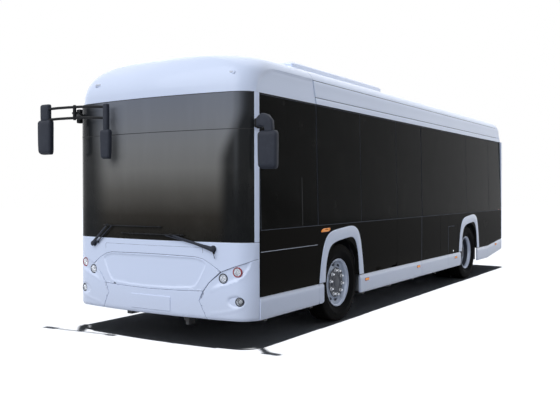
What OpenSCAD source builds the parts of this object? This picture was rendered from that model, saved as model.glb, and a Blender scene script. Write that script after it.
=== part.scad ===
// City bus, ten metre class: low floor, two double-leaf doors, rear engine, twin rear tyres.
// Millimetres.  X to the bus's left, Y to its rear, Z up, ground at Z = 0.
// Stations along the bus ("s") are counted from the seam where the front mask meets the side.

/* [Overall] */
// Width over the side panels
body_w = 2550; // [2400:10:2600]
// Station of the rear face
s_rear = 9430; // [9200:10:9800]
// How far the middle of the front bows ahead of the corner seam
front_bow = 260; // [200:5:320]
// Top of the roof crown
roof_top = 3140; // [3000:10:3250]
// Gap between ground and skirts
skirt_bottom = 290; // [240:5:340]
// Top edge of the skirts
skirt_top = 530; // [500:5:560]

/* [Wheels and axles] */
// Station of the front axle
s_front_axle = 1862; // [1840:1:1885]
// Distance between the axles
wheelbase = 5140; // [5080:5:5200]
// Outer radius of the tyres
tyre_r = 479; // [465:1:484]
// Section width of a tyre
tyre_w = 275; // [255:1:285]
// Radius of the rim flange
rim_r = 298; // [290:1:305]
// How far the outer sidewall sits inside the body side
wheel_inset = 40; // [36:1:60]
// Distance from the middle of the front tyre in to the kingpin
kingpin_in = 130; // [120:1:150]
// Distance between the middles of the twin tyres
twin_pitch = 312; // [300:1:330]
// Half width of the wheel openings in the sides
arch_half = 500; // [490:1:520]

/* [Cabin] */
// Lower edge of the side glass
belt_z = 1220; // [1180:5:1280]
// Upper edge of the side glass
glass_top = 2622; // [2580:2:2640]
// Underside of the roof panels
eave_z = 2640; // [2630:5:2680]
// How far each side leans in between belt and glass top
lean = 30; // [10:1:40]
// Thickness of the side walls
wall_t = 60; // [50:1:80]
// Thickness of the glass panes
glass_t = 8; // [6:1:12]
// Top of the low floor
floor_z = 345; // [330:5:370]
// Top of the raised floor over the rear axle
deck_z = 720; // [700:5:760]
// Station where the floor steps up
s_step = 5560; // [5500:10:5600]

/* [Doors] */
// Height of the door leaves
leaf_h = 1950; // [1850:10:1960]
// Thickness of a door leaf
leaf_t = 36; // [30:1:44]
// Front edge of the front doorway
s_door_a = 160; // [150:5:180]
// Rear edge of the front doorway
s_door_b = 1240; // [1200:5:1245]
// Front edge of the middle doorway
s_door_c = 3630; // [3600:5:3700]
// Rear edge of the middle doorway
s_door_d = 4870; // [4800:5:4900]

/* [Front] */
// Lower edge of the windshield
ws_bottom = 1095; // [1080:5:1120]
// Height of the seam under the destination pane
ws_seam = 2260; // [2200:5:2300]
// Radius of the front face in plan
front_r = 7000; // [6000:100:9000]
// Corner radius of the front in plan
corner_r = 250; // [200:5:280]
// Radius of the forehead above the windshield
dome_r = 450; // [400:10:470]
// Gap around the service hatches
hatch_gap = 8; // [7:1:12]
// Thickness of the hatch skins
hatch_t = 12; // [8:1:14]
// Farthest reach of each mirror from the middle of the bus
mirror_reach = 1605; // [1570:5:1640]

/* [Roof unit] */
// Half width of the roof unit
pod_half = 800; // [700:10:880]
// Top of the roof unit
pod_top = 3225; // [3200:5:3300]
// Front end of the roof unit
s_pod_a = 1430; // [1350:10:1500]
// Rear end of the roof unit
s_pod_b = 4085; // [3900:5:4200]

/* [Hidden] */
$fn = 64;
w = body_w / 2;
s_front = -front_bow;
s_mirror_front = -450;
y_seam = -(s_rear + s_mirror_front) / 2;
s_rear_axle = s_front_axle + wheelbase;
x_tyre = w - wheel_inset - tyre_w / 2;
x_kingpin = x_tyre - kingpin_in;
x_inner_tyre = x_tyre - twin_pitch;
rear_r = 11000;
rear_corner_r = 180;
rear_dome_r = 260;
ccx = w - corner_r;
sin_f = ccx / (front_r - corner_r);
s_fc = s_front + front_r - (front_r - corner_r) * sqrt(1 - sin_f * sin_f);
rcx = w - rear_corner_r;
sin_r = rcx / (rear_r - rear_corner_r);
s_rc = s_rear - rear_r + (rear_r - rear_corner_r) * sqrt(1 - sin_r * sin_r);
s_wall_end = floor(s_rc);
crown_r = 7000;
edge_r = 220;
x_edge = w - 67 - edge_r;
z_edge = roof_top - crown_r + sqrt(pow(crown_r - edge_r, 2) - x_edge * x_edge);
s_cap = 1250;
rise_s = 8190;
rise_top = 0.088;
rise_bottom = 0.104;
x_glass_front = -60;
leaf_x = w - 28 - leaf_t / 2;
leaf_z = floor_z + 15;
post_in = 45;
tumble = lean / (glass_top - belt_z);
fit = 0.3;
pin_gap = 0.1;
pin_r = 6;
post_r = 9;
s_hood_pin = s_front + 60;
z_hood_pin = 1085;
z_rear_pin = 1222;
tow_r = 12;
tow_x = 415;
mid_ab = (s_door_a + s_door_b) / 2;
mid_cd = (s_door_c + s_door_d) / 2;
POSTS = [s_door_a + post_in, s_door_b - post_in, s_door_c + post_in, s_door_d - post_in];

// window openings of each side: front and rear station
LEFT_WINDOWS = [[20, 1215], [1235, 2396], [2404, 3592], [3600, 4582], [4602, 6846], [6854, 8276],
                [8284, 9170]];
RIGHT_WINDOWS = [[1300, 2396], [2404, 3560], [4940, 6846], [6854, 8276], [8284, 9170]];
DOORWAYS = [[s_door_a, s_door_b], [s_door_c, s_door_d]];

// ---------------------------------------------------------------- helpers
module at_seam() translate([0, y_seam, 0]) children();
module both() { children(); mirror([1, 0, 0]) children(); }
module slab(x0, x1, s0, s1, z0, z1) translate([x0, s0, z0]) cube([x1 - x0, s1 - s0, z1 - z0]);
module xz(s0, s1) translate([0, s1, 0]) rotate([90, 0, 0]) linear_extrude(s1 - s0) children();
module yz(x0, x1) translate([x0, 0, 0]) rotate([90, 0, 90]) linear_extrude(x1 - x0) children();
module xcyl(r, x0, x1, s, z) translate([x0, s, z]) rotate([0, 90, 0]) cylinder(r = r, h = x1 - x0);
module ycyl(r, s0, s1, x, z) translate([x, s1, z]) rotate([90, 0, 0]) cylinder(r = r, h = s1 - s0);
module zcyl(r, z0, z1, x, s) translate([x, s, z0]) cylinder(r = r, h = z1 - z0);
module rrect(a, b, r) {
  translate([r, 0]) square([a - 2 * r, b]);
  translate([0, r]) square([a, b - 2 * r]);
  for (p = [[r, r], [a - r, r], [r, b - r], [a - r, b - r]]) translate(p) circle(r);
}

// station of the front face at a distance x from the middle
function front_s(x) = s_front + front_r - sqrt(front_r * front_r - x * x);
// plan of the body, drawn i inside its outer face
module plan2d(i) {
  intersection() {
    translate([-(front_r - i) * sin_f, s_front - 50]) square([2 * (front_r - i) * sin_f, 3000]);
    translate([0, s_front + front_r]) circle(front_r - i, $fn = 720);
  }
  intersection() {
    translate([-(rear_r - i) * sin_r, s_rear - 2950]) square([2 * (rear_r - i) * sin_r, 3000]);
    translate([0, s_rear - rear_r]) circle(rear_r - i, $fn = 1080);
  }
  // the corner rounds stand a hair proud so that they cross their neighbours cleanly
  for (v = [-1, 1]) translate([v * (ccx + 0.25), s_fc - 0.5]) circle(corner_r - i, $fn = 128);
  for (v = [-1, 1]) translate([v * (rcx + 0.25), s_rc + 0.5])
    circle(rear_corner_r - i, $fn = 128);
  translate([-(w - i), s_fc]) square([2 * (w - i), s_rc - s_fc]);
}
module plan_solid(i, z0, z1) translate([0, 0, z0]) linear_extrude(z1 - z0) plan2d(i);
module plan_band(i, j, z0, z1) difference() { plan_solid(i, z0, z1); plan_solid(j, z0 - 1, z1 + 1); }

// cross-section of the body
module section2d(i) {
  polygon([[-(w - i), 0], [w - i, 0], [w - i, belt_z], [w - lean - i, glass_top],
           [x_edge + edge_r - i, z_edge], [-(x_edge + edge_r - i), z_edge],
           [-(w - lean - i), glass_top], [-(w - i), belt_z]]);
  for (x = [-x_edge, x_edge]) translate([x, z_edge]) circle(edge_r - i, $fn = 128);
  intersection() {
    translate([0, roof_top - crown_r]) circle(crown_r - i, $fn = 720);
    translate([-x_edge * crown_r / (crown_r - edge_r), z_edge - 10])
      square([2 * x_edge * crown_r / (crown_r - edge_r), 600]);
  }
}
// side profile of the body
module profile2d(i) {
  translate([s_front - 60, 0]) square([s_rear - s_front + 120, roof_top - dome_r]);
  translate([s_front + dome_r, 0])
    square([s_rear - rear_dome_r - s_front - dome_r, roof_top + 50]);
  translate([s_front + dome_r, roof_top - dome_r]) circle(dome_r - i, $fn = 128);
  translate([2000, 0]) square([s_rear - 1940, roof_top - rear_dome_r]);
  translate([s_rear - rear_dome_r, roof_top - rear_dome_r]) circle(rear_dome_r - i, $fn = 128);
}
module core(i, s0, s1, z0) intersection() {
  plan_solid(i, z0, roof_top + 20);
  xz(s0, s1) section2d(i);
  yz(-w - 20, w + 20) profile2d(i);
}
module roof_part(s0, s1) difference() {
  core(0, s0, s1, eave_z);
  core(45, s0 - 100, s1 + 100, eave_z - 10);
}

// front panels, drawn as seen from the front (x, z)
HATCH = [[0, 943], [600, 935], [700, 915], [800, 865], [900, 800], [915, 789], [773, 668],
         [706, 578], [0, 560]];
CORNER = [[918, 783], [1233, 907], [1300, 922], [1300, skirt_bottom], [762, skirt_bottom],
          [664, 478], [709, 572], [776, 662]];
BUMPER = [[0, 556], [700, 573], [655, 478], [753, skirt_bottom], [0, skirt_bottom]];
module twoside(points) polygon(concat(points,
    [for (i = [len(points) - 1:-1:0]) if (points[i][0] > 0) [-points[i][0], points[i][1]]]));
module front_band(t, z0, z1) intersection() {
  plan_band(0, t, z0, z1);
  slab(-w - 10, w + 10, s_front - 20, 0, z0, z1);
}
// hatch outline, drawn a gap inside its opening
HATCH_IN = [[0, 943 - 10], [597, 935 - 10], [696, 905], [794, 858], [893, 794], [902, 789],
            [766, 673], [701, 586], [0, 568]];

// wheel opening in a side: round top, straight legs
module arch2d(s) {
  translate([s, 529]) circle(arch_half);
  translate([s - arch_half, 150]) square([2 * arch_half, 379]);
}
module arch_cuts(x0, x1) for (s = [s_front_axle, s_rear_axle]) yz(x0, x1) arch2d(s);

// ---------------------------------------------------------------- body shell
// side wall as a prism on the +X side: full thickness below the belt and above the glass,
// set back by the glass thickness in between
module wall_blank() {
  t = glass_t + fit;
  xz(0, s_wall_end) polygon([
    [w - wall_t, skirt_top], [w, skirt_top], [w, belt_z - 2], [w - t, belt_z - 2],
    [w - t - lean, glass_top + 2], [w - lean, glass_top + 2],
    [w - lean - tumble * (eave_z - glass_top), eave_z], [w - lean - wall_t, eave_z],
    [w - wall_t, belt_z]]);
}
module rise_cut() yz(-w - 20, w + 20) polygon([[rise_s, skirt_top - 5], [rise_s, skirt_top],
    [9600, skirt_top + (9600 - rise_s) * rise_top], [9600, skirt_top - 5]]);
module window_hole(a, b) slab(w - 150, w + 20, a + 35, b - 35, belt_z + 40, glass_top - 45);

module left_wall() color("#1b1d22") at_seam() { left_side(); flap_hinge(); }
module left_side() difference() {
  intersection() { wall_blank(); plan_solid(0, 0, 3000); }
  arch_cuts(w - 200, w + 20);
  rise_cut();
  for (q = LEFT_WINDOWS) window_hole(q[0], q[1]);
  slab(w - 26, w + 10, 5824, 6336, 539, 1008);
  for (s = [5930, 6230]) translate([w + 1, s - 20.4, 1005]) rotate([-90, 0, 0])
    cylinder(r = 5.6, h = 40.8);
  slab(w - 200, w + 10, 5850, 6310, 565, 975);
}
// fixed knuckles and pins of the service flap
module flap_hinge() {
  for (s = [5930, 6230]) {
    for (v = [-60, 20.4]) translate([w + 1, s + v, 1005]) rotate([-90, 0, 0])
      cylinder(r = 5, h = 39.6);
    for (v = [-60, 20.4]) slab(w - 4, w + 2, s + v, s + v + 39.6, 1007, 1014);
    translate([w + 1, s - 60, 1005]) rotate([-90, 0, 0]) cylinder(r = 2.5, h = 120);
  }
}
module right_wall() color("#1b1d22") at_seam() {
  right_side();
  // upper pins of the door leaves
  for (q = POSTS) zcyl(post_r, leaf_z + leaf_h - 20, leaf_z + leaf_h + 25, -leaf_x, q);
}
module right_side() mirror([1, 0, 0]) difference() {
  intersection() { wall_blank(); plan_solid(0, 0, 3000); }
  arch_cuts(w - 200, w + 20);
  rise_cut();
  for (q = RIGHT_WINDOWS) window_hole(q[0], q[1]);
  for (d = DOORWAYS) {
    slab(w - 200, w + 20, d[0], d[1], 0, leaf_z + leaf_h + 10);
    slab(w - 200, w + 20, d[0] - fit, d[0], 0, 3000);
    slab(w - 200, w + 20, d[1], d[1] + fit, 0, 3000);
  }
}
module rear_wall() color("#e8ecf2") at_seam() {
  rear_side();
  for (x = [-300, 300]) {
    for (v = [-90, 30.4]) {
      xcyl(8, x + v, x + v + 59.6, s_rear + 2, z_rear_pin);
      slab(x + v, x + v + 59.6, s_rear - 14, s_rear + 1, z_rear_pin + 3, z_rear_pin + 12);
    }
    xcyl(3.5, x - 90, x + 90, s_rear + 2, z_rear_pin);
  }
}
module rear_side() difference() {
  intersection() {
    plan_band(0, wall_t, 620, eave_z);
    slab(-w - 10, w + 10, s_wall_end, s_rear + 10, 620, eave_z);
    xz(s_wall_end - 10, s_rear + 10) section2d(0);
  }
  slab(-868, 868, s_rear - 200, s_rear + 20, 700, 1226);
  slab(-930, 930, s_rear - 200, s_rear + 20, 1500, 2380);
  for (x = [-300, 300]) xcyl(8.6, x - 30.4, x + 30.4, s_rear + 2, z_rear_pin);
  for (x = [-1080, 1080], z = [800, 925, 1050]) ycyl(50, s_rear - 300, s_rear + 20, x, z);
}
module roof_shell() color("#e8ecf2") at_seam() roof_part(s_cap, s_rear + 20);
module front_roof_cap() color("#e8ecf2") at_seam() roof_part(s_front - 30, s_cap);
module roof_unit() color("#dfe4ea") at_seam() difference() {
  intersection() {
    yz(-pod_half, pod_half) polygon([[s_pod_a, 3050], [s_pod_a, pod_top - 25],
      [s_pod_a + 60, pod_top], [s_pod_b - 60, pod_top], [s_pod_b, pod_top - 25], [s_pod_b, 3050]]);
    xz(s_pod_a - 10, s_pod_b + 10) polygon([[-pod_half, 3000], [-pod_half, pod_top - 35],
      [-pod_half + 40, pod_top], [pod_half - 40, pod_top], [pod_half, pod_top - 35],
      [pod_half, 3000]]);
  }
  xz(s_pod_a - 20, s_pod_b + 20) intersection() {
    translate([0, roof_top - crown_r]) circle(crown_r + fit, $fn = 720);
    translate([-1500, 2900]) square([3000, 400]);
  }
}
module front_mask() color("#dfe6f2") at_seam() {
  // lugs and pins of the front hatch
  for (x = [-150, 150]) {
    for (v = [-24, 12]) intersection() {
      slab(x + v, x + v + 12, s_front, s_hood_pin + 12, z_hood_pin - 12, ws_bottom - 2);
      plan_solid(20, 1000, 1200);
    }
    xcyl(pin_r, x - 24, x + 24, s_hood_pin, z_hood_pin);
  }
  difference() {
    front_band(40, skirt_bottom, ws_bottom);
    xz(s_front - 60, 60) twoside(HATCH);
    xz(s_front - 60, 60) twoside(BUMPER);
    xz(s_front - 60, 60) for (m = [0, 1]) mirror([m, 0]) polygon(CORNER);
    xz(s_front - 60, 60) for (m = [0, 1]) mirror([m, 0])
      polygon([[640, skirt_bottom - 5], [640, 600], [700, 600], [790, 700], [905, 795], [940, 780],
               [820, 600], [800, skirt_bottom - 5]]);
  }
  intersection() {
    plan_band(0, 60, ws_bottom, eave_z);
    slab(-w - 10, w + 10, x_glass_front, 0, ws_bottom, eave_z);
    xz(x_glass_front - 10, 10) section2d(0);
  }
}
module bumpers() color("#dfe6f2") at_seam() {
  rear_bar();
  intersection() { front_band(40, skirt_bottom, 960); xz(s_front - 60, 60) twoside(BUMPER); }
  difference() {
    intersection() {
      front_band(40, skirt_bottom, 960);
      xz(s_front - 60, 60) for (m = [0, 1]) mirror([m, 0]) polygon(CORNER);
    }
    for (x = [-1, 1]) {
      ycyl(52, s_front - 60, 200, x * 938, 722);
      ycyl(52, s_front - 60, 200, x * 1100, 792);
      ycyl(46, s_front - 60, 200, x * 1122, 488);
    }
  }
}
module headlamps() color("#c8ccd4") at_seam() for (x = [-1, 1]) {
  ycyl(52 - fit, -188, -110, x * 938, 722);
  ycyl(52 - fit, -150, -80, x * 1100, 792);
  ycyl(46 - fit, -136, -70, x * 1122, 488);
}
module tail_lamps() color("#b01818") at_seam()
  for (x = [-1080, 1080], z = [800, 925, 1050]) ycyl(50 - fit, s_rear - 110, s_rear - 48, x, z);
module windshield() color("#20242c") at_seam() {
  for (z = [[ws_bottom, ws_seam - 3], [ws_seam + 3, eave_z - 3]]) intersection() {
    plan_band(0, glass_t, z[0], z[1]);
    slab(-w - 10, w + 10, s_front - 20, x_glass_front - fit, z[0], z[1]);
  }
}
module pane(a, b) intersection() {
  xz(a, b) polygon([[w - glass_t, belt_z], [w, belt_z], [w - lean, glass_top],
                    [w - lean - glass_t, glass_top]]);
  plan_solid(0, 0, 3000);
}
module windows() color("#101216") at_seam() {
  rear_pane();
  for (q = LEFT_WINDOWS) pane(q[0], q[1]);
  mirror([1, 0, 0]) for (q = RIGHT_WINDOWS) pane(q[0], q[1]);
}
module rear_pane() intersection() {
  plan_band(2, 2 + glass_t, 1500 + fit, 2380 - fit);
  slab(-930 + fit, 930 - fit, s_rear - 48.5, s_rear + 20, 1400, 2500);
}
SKIRTS = [[0, s_front_axle - arch_half + 1], [s_front_axle + arch_half - 1, 4560], [4566, 5818],
          [5822, s_rear_axle - arch_half + 1], [s_rear_axle + arch_half - 1, rise_s - 3]];
module skirt_side() intersection() {
  union() {
    for (q = SKIRTS) slab(w - 32, w, q[0], q[1], skirt_bottom, skirt_top);
    yz(w - 32, w) polygon([[rise_s, skirt_bottom], [s_wall_end, skirt_bottom +
      (s_wall_end - rise_s) * rise_bottom], [s_wall_end, skirt_top +
      (s_wall_end - rise_s) * rise_top], [rise_s, skirt_top]]);
  }
  plan_solid(0, 0, 1000);
}
module side_skirts() color("#15171b") at_seam() {
  skirt_side();
  mirror([1, 0, 0]) difference() {
    skirt_side();
    for (d = DOORWAYS) slab(w - 60, w + 20, d[0], d[1], floor_z, 700);
  }
}
TRIM_OUT = [[-615, 533], [-560, 800], [-500, 985], [-420, 1095], [-300, 1145], [0, 1170],
            [250, 1181], [370, 1170], [450, 1110], [510, 960], [565, 700], [592, 533]];
TRIM_IN = [[-480, 533], [-455, 760], [-400, 870], [-300, 975], [-150, 1022], [0, 1042],
           [250, 1056], [330, 1035], [395, 945], [430, 800], [462, 533]];
module trim(s) difference() {
  yz(w + fit, w + 8) translate([s, 0]) difference() {
    polygon(TRIM_OUT);
    polygon(concat(TRIM_IN, [[462, 500], [-480, 500]]));
  }
  yz(w - 10, w + 20) arch2d(s);
}
module arch_trims() color("#dfe6f2") at_seam() both() {
  trim(s_front_axle);
  trim(s_rear_axle);
}
module rear_bar() intersection() {
  plan_band(0, 45, 394, 616);
  slab(-w - 10, w + 10, s_wall_end, s_rear + 10, 394, 616);
}

// ---------------------------------------------------------------- hatches
// swan-neck arm of the front hatch in the plane across the pin, pin at the origin
module neck2d() {
  difference() {
    intersection() {
      circle(174, $fn = 128);
      polygon([[0, 0], [300, 0], [300, -300], [-104, -300], [-55, -158]]);
    }
    circle(161, $fn = 128);
  }
  translate([0, -9]) square([168, 18]);
  circle(12);
}
module front_hatch() color("#dfe6f2") at_seam() {
  intersection() {
    front_band(hatch_t, skirt_bottom, 960);
    xz(s_front - 60, 60) twoside(HATCH_IN);
  }
  for (x = [-150, 150]) difference() {
    intersection() {
      translate([0, s_hood_pin, z_hood_pin]) yz(x - 8, x + 8) neck2d();
      plan_solid(hatch_t - 2, 800, 1200);
    }
    xcyl(pin_r + pin_gap, x - 20, x + 20, s_hood_pin, z_hood_pin);
  }
}
module rear_hatch() color("#e8ecf2") at_seam() {
  difference() {
    intersection() {
      plan_band(0, hatch_t + 3, 700 + hatch_gap, 1226 - hatch_gap);
      slab(-868 + hatch_gap, 868 - hatch_gap, s_rear - 48, s_rear + 20, 650, 1300);
    }
    for (x = [-300, 300]) xcyl(8.5, x - 90.4, x + 90.4, s_rear + 2, z_rear_pin);
  }
  for (x = [-300, 300]) difference() {
    xcyl(8, x - 30, x + 30, s_rear + 2, z_rear_pin);
    xcyl(3.5 + pin_gap, x - 40, x + 40, s_rear + 2, z_rear_pin);
  }
  for (x = [-300, 300]) slab(x - 30, x + 30, s_rear - 14, s_rear + 1, z_rear_pin - 12,
    z_rear_pin - 5);
}
module service_flap() color("#1b1d22") at_seam() {
  difference() {
    slab(w - 20, w, 5830, 6330, 545, 1002);
    for (s = [5930, 6230]) translate([w + 1, s - 60.4, 1005]) rotate([-90, 0, 0])
      cylinder(r = 5.5, h = 120.8);
  }
  for (s = [5930, 6230]) difference() {
    union() {
      translate([w + 1, s - 20, 1005]) rotate([-90, 0, 0]) cylinder(r = 5, h = 40);
      slab(w - 4, w + 2, s - 20, s + 20, 996, 1001.5);
    }
    translate([w + 1, s - 30, 1005]) rotate([-90, 0, 0]) cylinder(r = 2.5 + pin_gap, h = 60);
  }
}

// ---------------------------------------------------------------- floor and frame
x_floor = w - 75;
x_deck = w - wall_t;
box_half_f = 585;
box_half_r = 545;
x_box_f = 585;
x_box_r = 595;
s_bay = s_rear - 1190;
// low floor in panels with fine joints, first step, doorway sills with the leaves' lower pins
module cabin_floor() color("#5a5e64") at_seam() {
  slab(-x_floor, x_floor, 0, s_front_axle - box_half_f - fit, floor_z - 40, floor_z);
  slab(-x_box_f + fit, x_box_f - fit, s_front_axle - box_half_f, s_front_axle + box_half_f,
       floor_z - 40, floor_z);
  slab(-x_floor, x_floor, s_front_axle + box_half_f + fit, s_step - fit, floor_z - 40, floor_z);
  slab(-x_floor, x_floor, s_step - 330, s_step - fit, floor_z + fit, (floor_z + deck_z) / 2);
  slab(-x_floor, x_floor, s_step, s_step + 40, floor_z - 40, deck_z - 40 - fit);
  for (i = [0, 1]) {
    slab(-w + 33, -x_floor - fit, DOORWAYS[i][0], DOORWAYS[i][1], floor_z - 40, floor_z);
    for (j = [0, 1]) zcyl(post_r, floor_z - 10, leaf_z + 20, -leaf_x, POSTS[2 * i + j]);
  }
}
// raised floor in panels, and the cover of the engine bay
module rear_deck() color("#5a5e64") at_seam() {
  slab(-x_deck, x_deck, s_step, s_rear_axle - box_half_r - fit, deck_z - 40, deck_z);
  slab(-x_box_r + fit, x_box_r - fit, s_rear_axle - box_half_r, s_rear_axle + box_half_r,
       deck_z - 40, deck_z);
  slab(-x_deck, x_deck, s_rear_axle + box_half_r + fit, s_bay - fit, deck_z - 40, deck_z);
  both() intersection() {
    slab(600 + fit, x_deck, s_bay, s_rear - 130, deck_z - 40, deck_z);
    plan_solid(wall_t + fit, deck_z - 50, deck_z + 10);
  }
  slab(-600, 600, s_bay, s_bay + 40 - fit, deck_z - 40, 1130);
  slab(-600, 600, s_bay + 40, s_rear - 130, 1090, 1130);
  both() slab(560, 600, s_bay + 40, s_rear - 130, deck_z - 40, 1090 - fit);
}
// box over a wheel in plates with fine joints, open below and to the outside
module wheel_box(s, half, x_in, slot) {
  slab(x_in, x_deck, s - half, s + half, 1055, 1075);
  for (e = [s - half, s + half - 20]) slab(x_in, x_deck, e, e + 20, floor_z - 40, 1055 - fit);
  a = s - half + 20 + fit;
  b = s + half - 20 - fit;
  if (slot) {
    slab(x_in, x_in + 20, a, s - 100, floor_z - 40, tyre_r + 100);
    slab(x_in, x_in + 20, s + 100, b, floor_z - 40, tyre_r + 100);
    slab(x_in, x_in + 20, a, b, tyre_r + 100 + fit, 1055 - fit);
  } else slab(x_in, x_in + 20, a, b, floor_z - 40, 1055 - fit);
}
module wheel_boxes() color("#5a5e64") at_seam() both() {
  wheel_box(s_front_axle, box_half_f, x_box_f, false);
  wheel_box(s_rear_axle, box_half_r, x_box_r, true);
}
FRAME_CROSS = [200, 1180, 2600, 3500, 4400, 5400];
// cross member in three lengths between and outside the rails
module cross(s, z0, z1) {
  slab(-380 + fit, 380 - fit, s, s + 60, z0, z1);
  both() slab(450 + fit, w - 90, s, s + 60, z0, z1);
}
module sill(a, b) slab(x_floor + fit, w - 32, a, b, floor_z - 40, skirt_top);
module underframe() color("#2a2d31") at_seam() {
  both() {
    slab(380, 450, -140, s_front_axle - 140 - fit, 235, floor_z - 40);
    slab(380, 450, s_front_axle - 140, s_front_axle + 140, 285, floor_z - 40);
    slab(380, 450, s_front_axle + 140 + fit, s_step + 110, 235, floor_z - 40);
    slab(380, 450, s_step + 40, s_step + 110, floor_z - 40 + fit, 600 - fit);
    slab(380, 450, s_step + 40, s_bay - 10 - fit, 600, deck_z - 40);
    slab(562, 632, s_bay + 38, s_rear - 90, 560 + fit, deck_z - 40);
    slab(380, 450, -144.8, -70, floor_z - 40 + fit, 470);
    sill(s_front_axle + box_half_f, DOORWAYS[1][0] - fit);
    sill(DOORWAYS[1][1] + fit, s_step + 40);
    sill(2, DOORWAYS[0][0] - fit);
    sill(DOORWAYS[0][1] + fit, s_front_axle - box_half_f);
  }
  for (d = DOORWAYS) sill(d[0] + fit, d[1] - fit);
  for (s = FRAME_CROSS) cross(s, 245, floor_z - 40);
  for (s = [5720, 7600]) cross(s, 610, deck_z - 40);
  slab(-632, 632, s_bay - 10, s_bay + 38 - fit, 560, deck_z - 40);
  // bumper beams
  intersection() {
    plan_band(40 + fit, 100, 330, 470);
    slab(-1000, 1000, s_front - 10, 60, 330, 470);
  }
  intersection() {
    plan_band(45 + fit, 105, 440, 560);
    slab(-1000, 1000, s_rear - 300, s_rear, 440, 560);
  }
  // towing lugs: the front one with a cross bore, the rear one with an upright bore
  difference() {
    slab(tow_x - 20, tow_x + 20, -130, -20, 188, 235 - fit);
    xcyl(tow_r, tow_x - 30, tow_x + 30, -75, 211);
  }
  difference() {
    slab(tow_x - 32, tow_x + 32, s_rear - 176, s_rear - 62, 400 - fit, 440 - fit);
    zcyl(tow_r, 380, 460, tow_x, s_rear - 145);
  }
}

// ---------------------------------------------------------------- axles
module front_axle() color("#2f3237") at_seam() {
  slab(-680, 680, s_front_axle - 55, s_front_axle + 55, 170, 262);
  both() {
    slab(620, 680, s_front_axle - 55, s_front_axle + 55, 262, 500);
    slab(670, x_kingpin - 30, s_front_axle - 45, s_front_axle + 45, 425, 500);
    difference() {
      zcyl(55, 415, 545, x_kingpin, s_front_axle);
      zcyl(22 + fit, 400, 560, x_kingpin, s_front_axle);
    }
  }
  both() slab(385, 445, s_front_axle - 55, s_front_axle + 55, 262, 285);
}
module knuckle() {
  for (z = [[380, 410], [550, 580]])
    slab(x_kingpin - 45, x_kingpin + 95, s_front_axle - 45, s_front_axle + 45, z[0], z[1]);
  zcyl(22, 372, 588, x_kingpin, s_front_axle);
  slab(x_kingpin + 65, x_kingpin + 95, s_front_axle - 70, s_front_axle + 70, 380, 580);
  xcyl(40, x_kingpin + 90, x_tyre + 62, s_front_axle, tyre_r);
  xcyl(150, x_kingpin + 95, x_kingpin + 105, s_front_axle, tyre_r);
}
module left_knuckle() color("#3a3d42") at_seam() knuckle();
module right_knuckle() color("#3a3d42") at_seam() mirror([1, 0, 0]) knuckle();
module rear_axle() color("#2f3237") at_seam() {
  xcyl(85, -720, 720, s_rear_axle, tyre_r);
  translate([0, s_rear_axle, tyre_r]) rotate([0, 90, 0]) translate([0, 0, -110])
    cylinder(r = 190, h = 220);
  translate([0, s_rear_axle + 60, tyre_r]) rotate([-90, 0, 0]) cylinder(r = 90, h = 330);
  both() xcyl(42, 715, x_tyre - 90, s_rear_axle, tyre_r);
  both() slab(385, 445, s_rear_axle - 60, s_rear_axle + 60, tyre_r + 60, 600);
}
module engine_block() color("#4a4d52") at_seam() {
  slab(-430, 430, s_rear - 1100, s_rear - 180, 420, 1060);
  both() slab(425, 562, s_rear - 1000, s_rear - 900, 580, 640);
}

// ---------------------------------------------------------------- wheels
// tyre section in (radius, across) turned about the axle
module tyre(x) translate([x, s_front_axle, tyre_r]) rotate([0, 90, 0]) rotate_extrude($fn = 96)
  difference() {
    union() {
      translate([rim_r + fit, -tyre_w / 2 + 28]) square([tyre_r - rim_r - 30, tyre_w - 56]);
      translate([tyre_r - 40, -tyre_w / 2 + 40]) square([40, tyre_w - 80]);
      for (v = [-1, 1]) translate([tyre_r - 62, v * (tyre_w / 2 - 62)]) circle(62);
      translate([tyre_r - 130, -tyre_w / 2]) square([68, tyre_w]);
      for (v = [-1, 1]) translate([tyre_r - 130, v * (tyre_w / 2 - 50)]) circle(50);
    }
    translate([rim_r - 60, -tyre_w / 2 + 50]) square([110, tyre_w - 100]);
  }
// rim section: flanges, well, disc, hub
module rim(x, disc_x, hub_in, hub_out, bore) translate([x, s_front_axle, tyre_r])
  rotate([0, 90, 0]) rotate_extrude($fn = 96) {
    for (v = [-1, 1]) translate([rim_r - 26, v > 0 ? 92 : -108]) square([26, 16]);
    translate([rim_r - 40, -108]) square([16, 216]);
    translate([120, disc_x]) square([rim_r - 150, 14]);
    translate([bore, hub_in]) square([135 - bore, hub_out - hub_in]);
  }
module front_left_tyre() color("#141414") at_seam() tyre(x_tyre);
module front_left_rim() color("#b9bcc2") at_seam() rim(x_tyre, 62, 25, 84, 40 + fit);
module front_right_tyre() color("#141414") at_seam() mirror([1, 0, 0]) tyre(x_tyre);
module front_right_rim() color("#b9bcc2") at_seam() mirror([1, 0, 0])
  rim(x_tyre, 62, 25, 84, 40 + fit);
module twin_tyres() translate([0, wheelbase, 0]) { tyre(x_tyre); tyre(x_inner_tyre); }
module twin_rims() translate([0, wheelbase, 0]) {
  rim(x_tyre, -95, -130, 40, 42 + fit);
  mirror([1, 0, 0]) rim(-x_inner_tyre, -95 - 0.001, -130, -80, 42 + fit);
}
module rear_left_tyres() color("#141414") at_seam() twin_tyres();
module rear_left_rims() color("#b9bcc2") at_seam() twin_rims();
module rear_right_tyres() color("#141414") at_seam() mirror([1, 0, 0]) twin_tyres();
module rear_right_rims() color("#b9bcc2") at_seam() mirror([1, 0, 0]) twin_rims();

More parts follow.
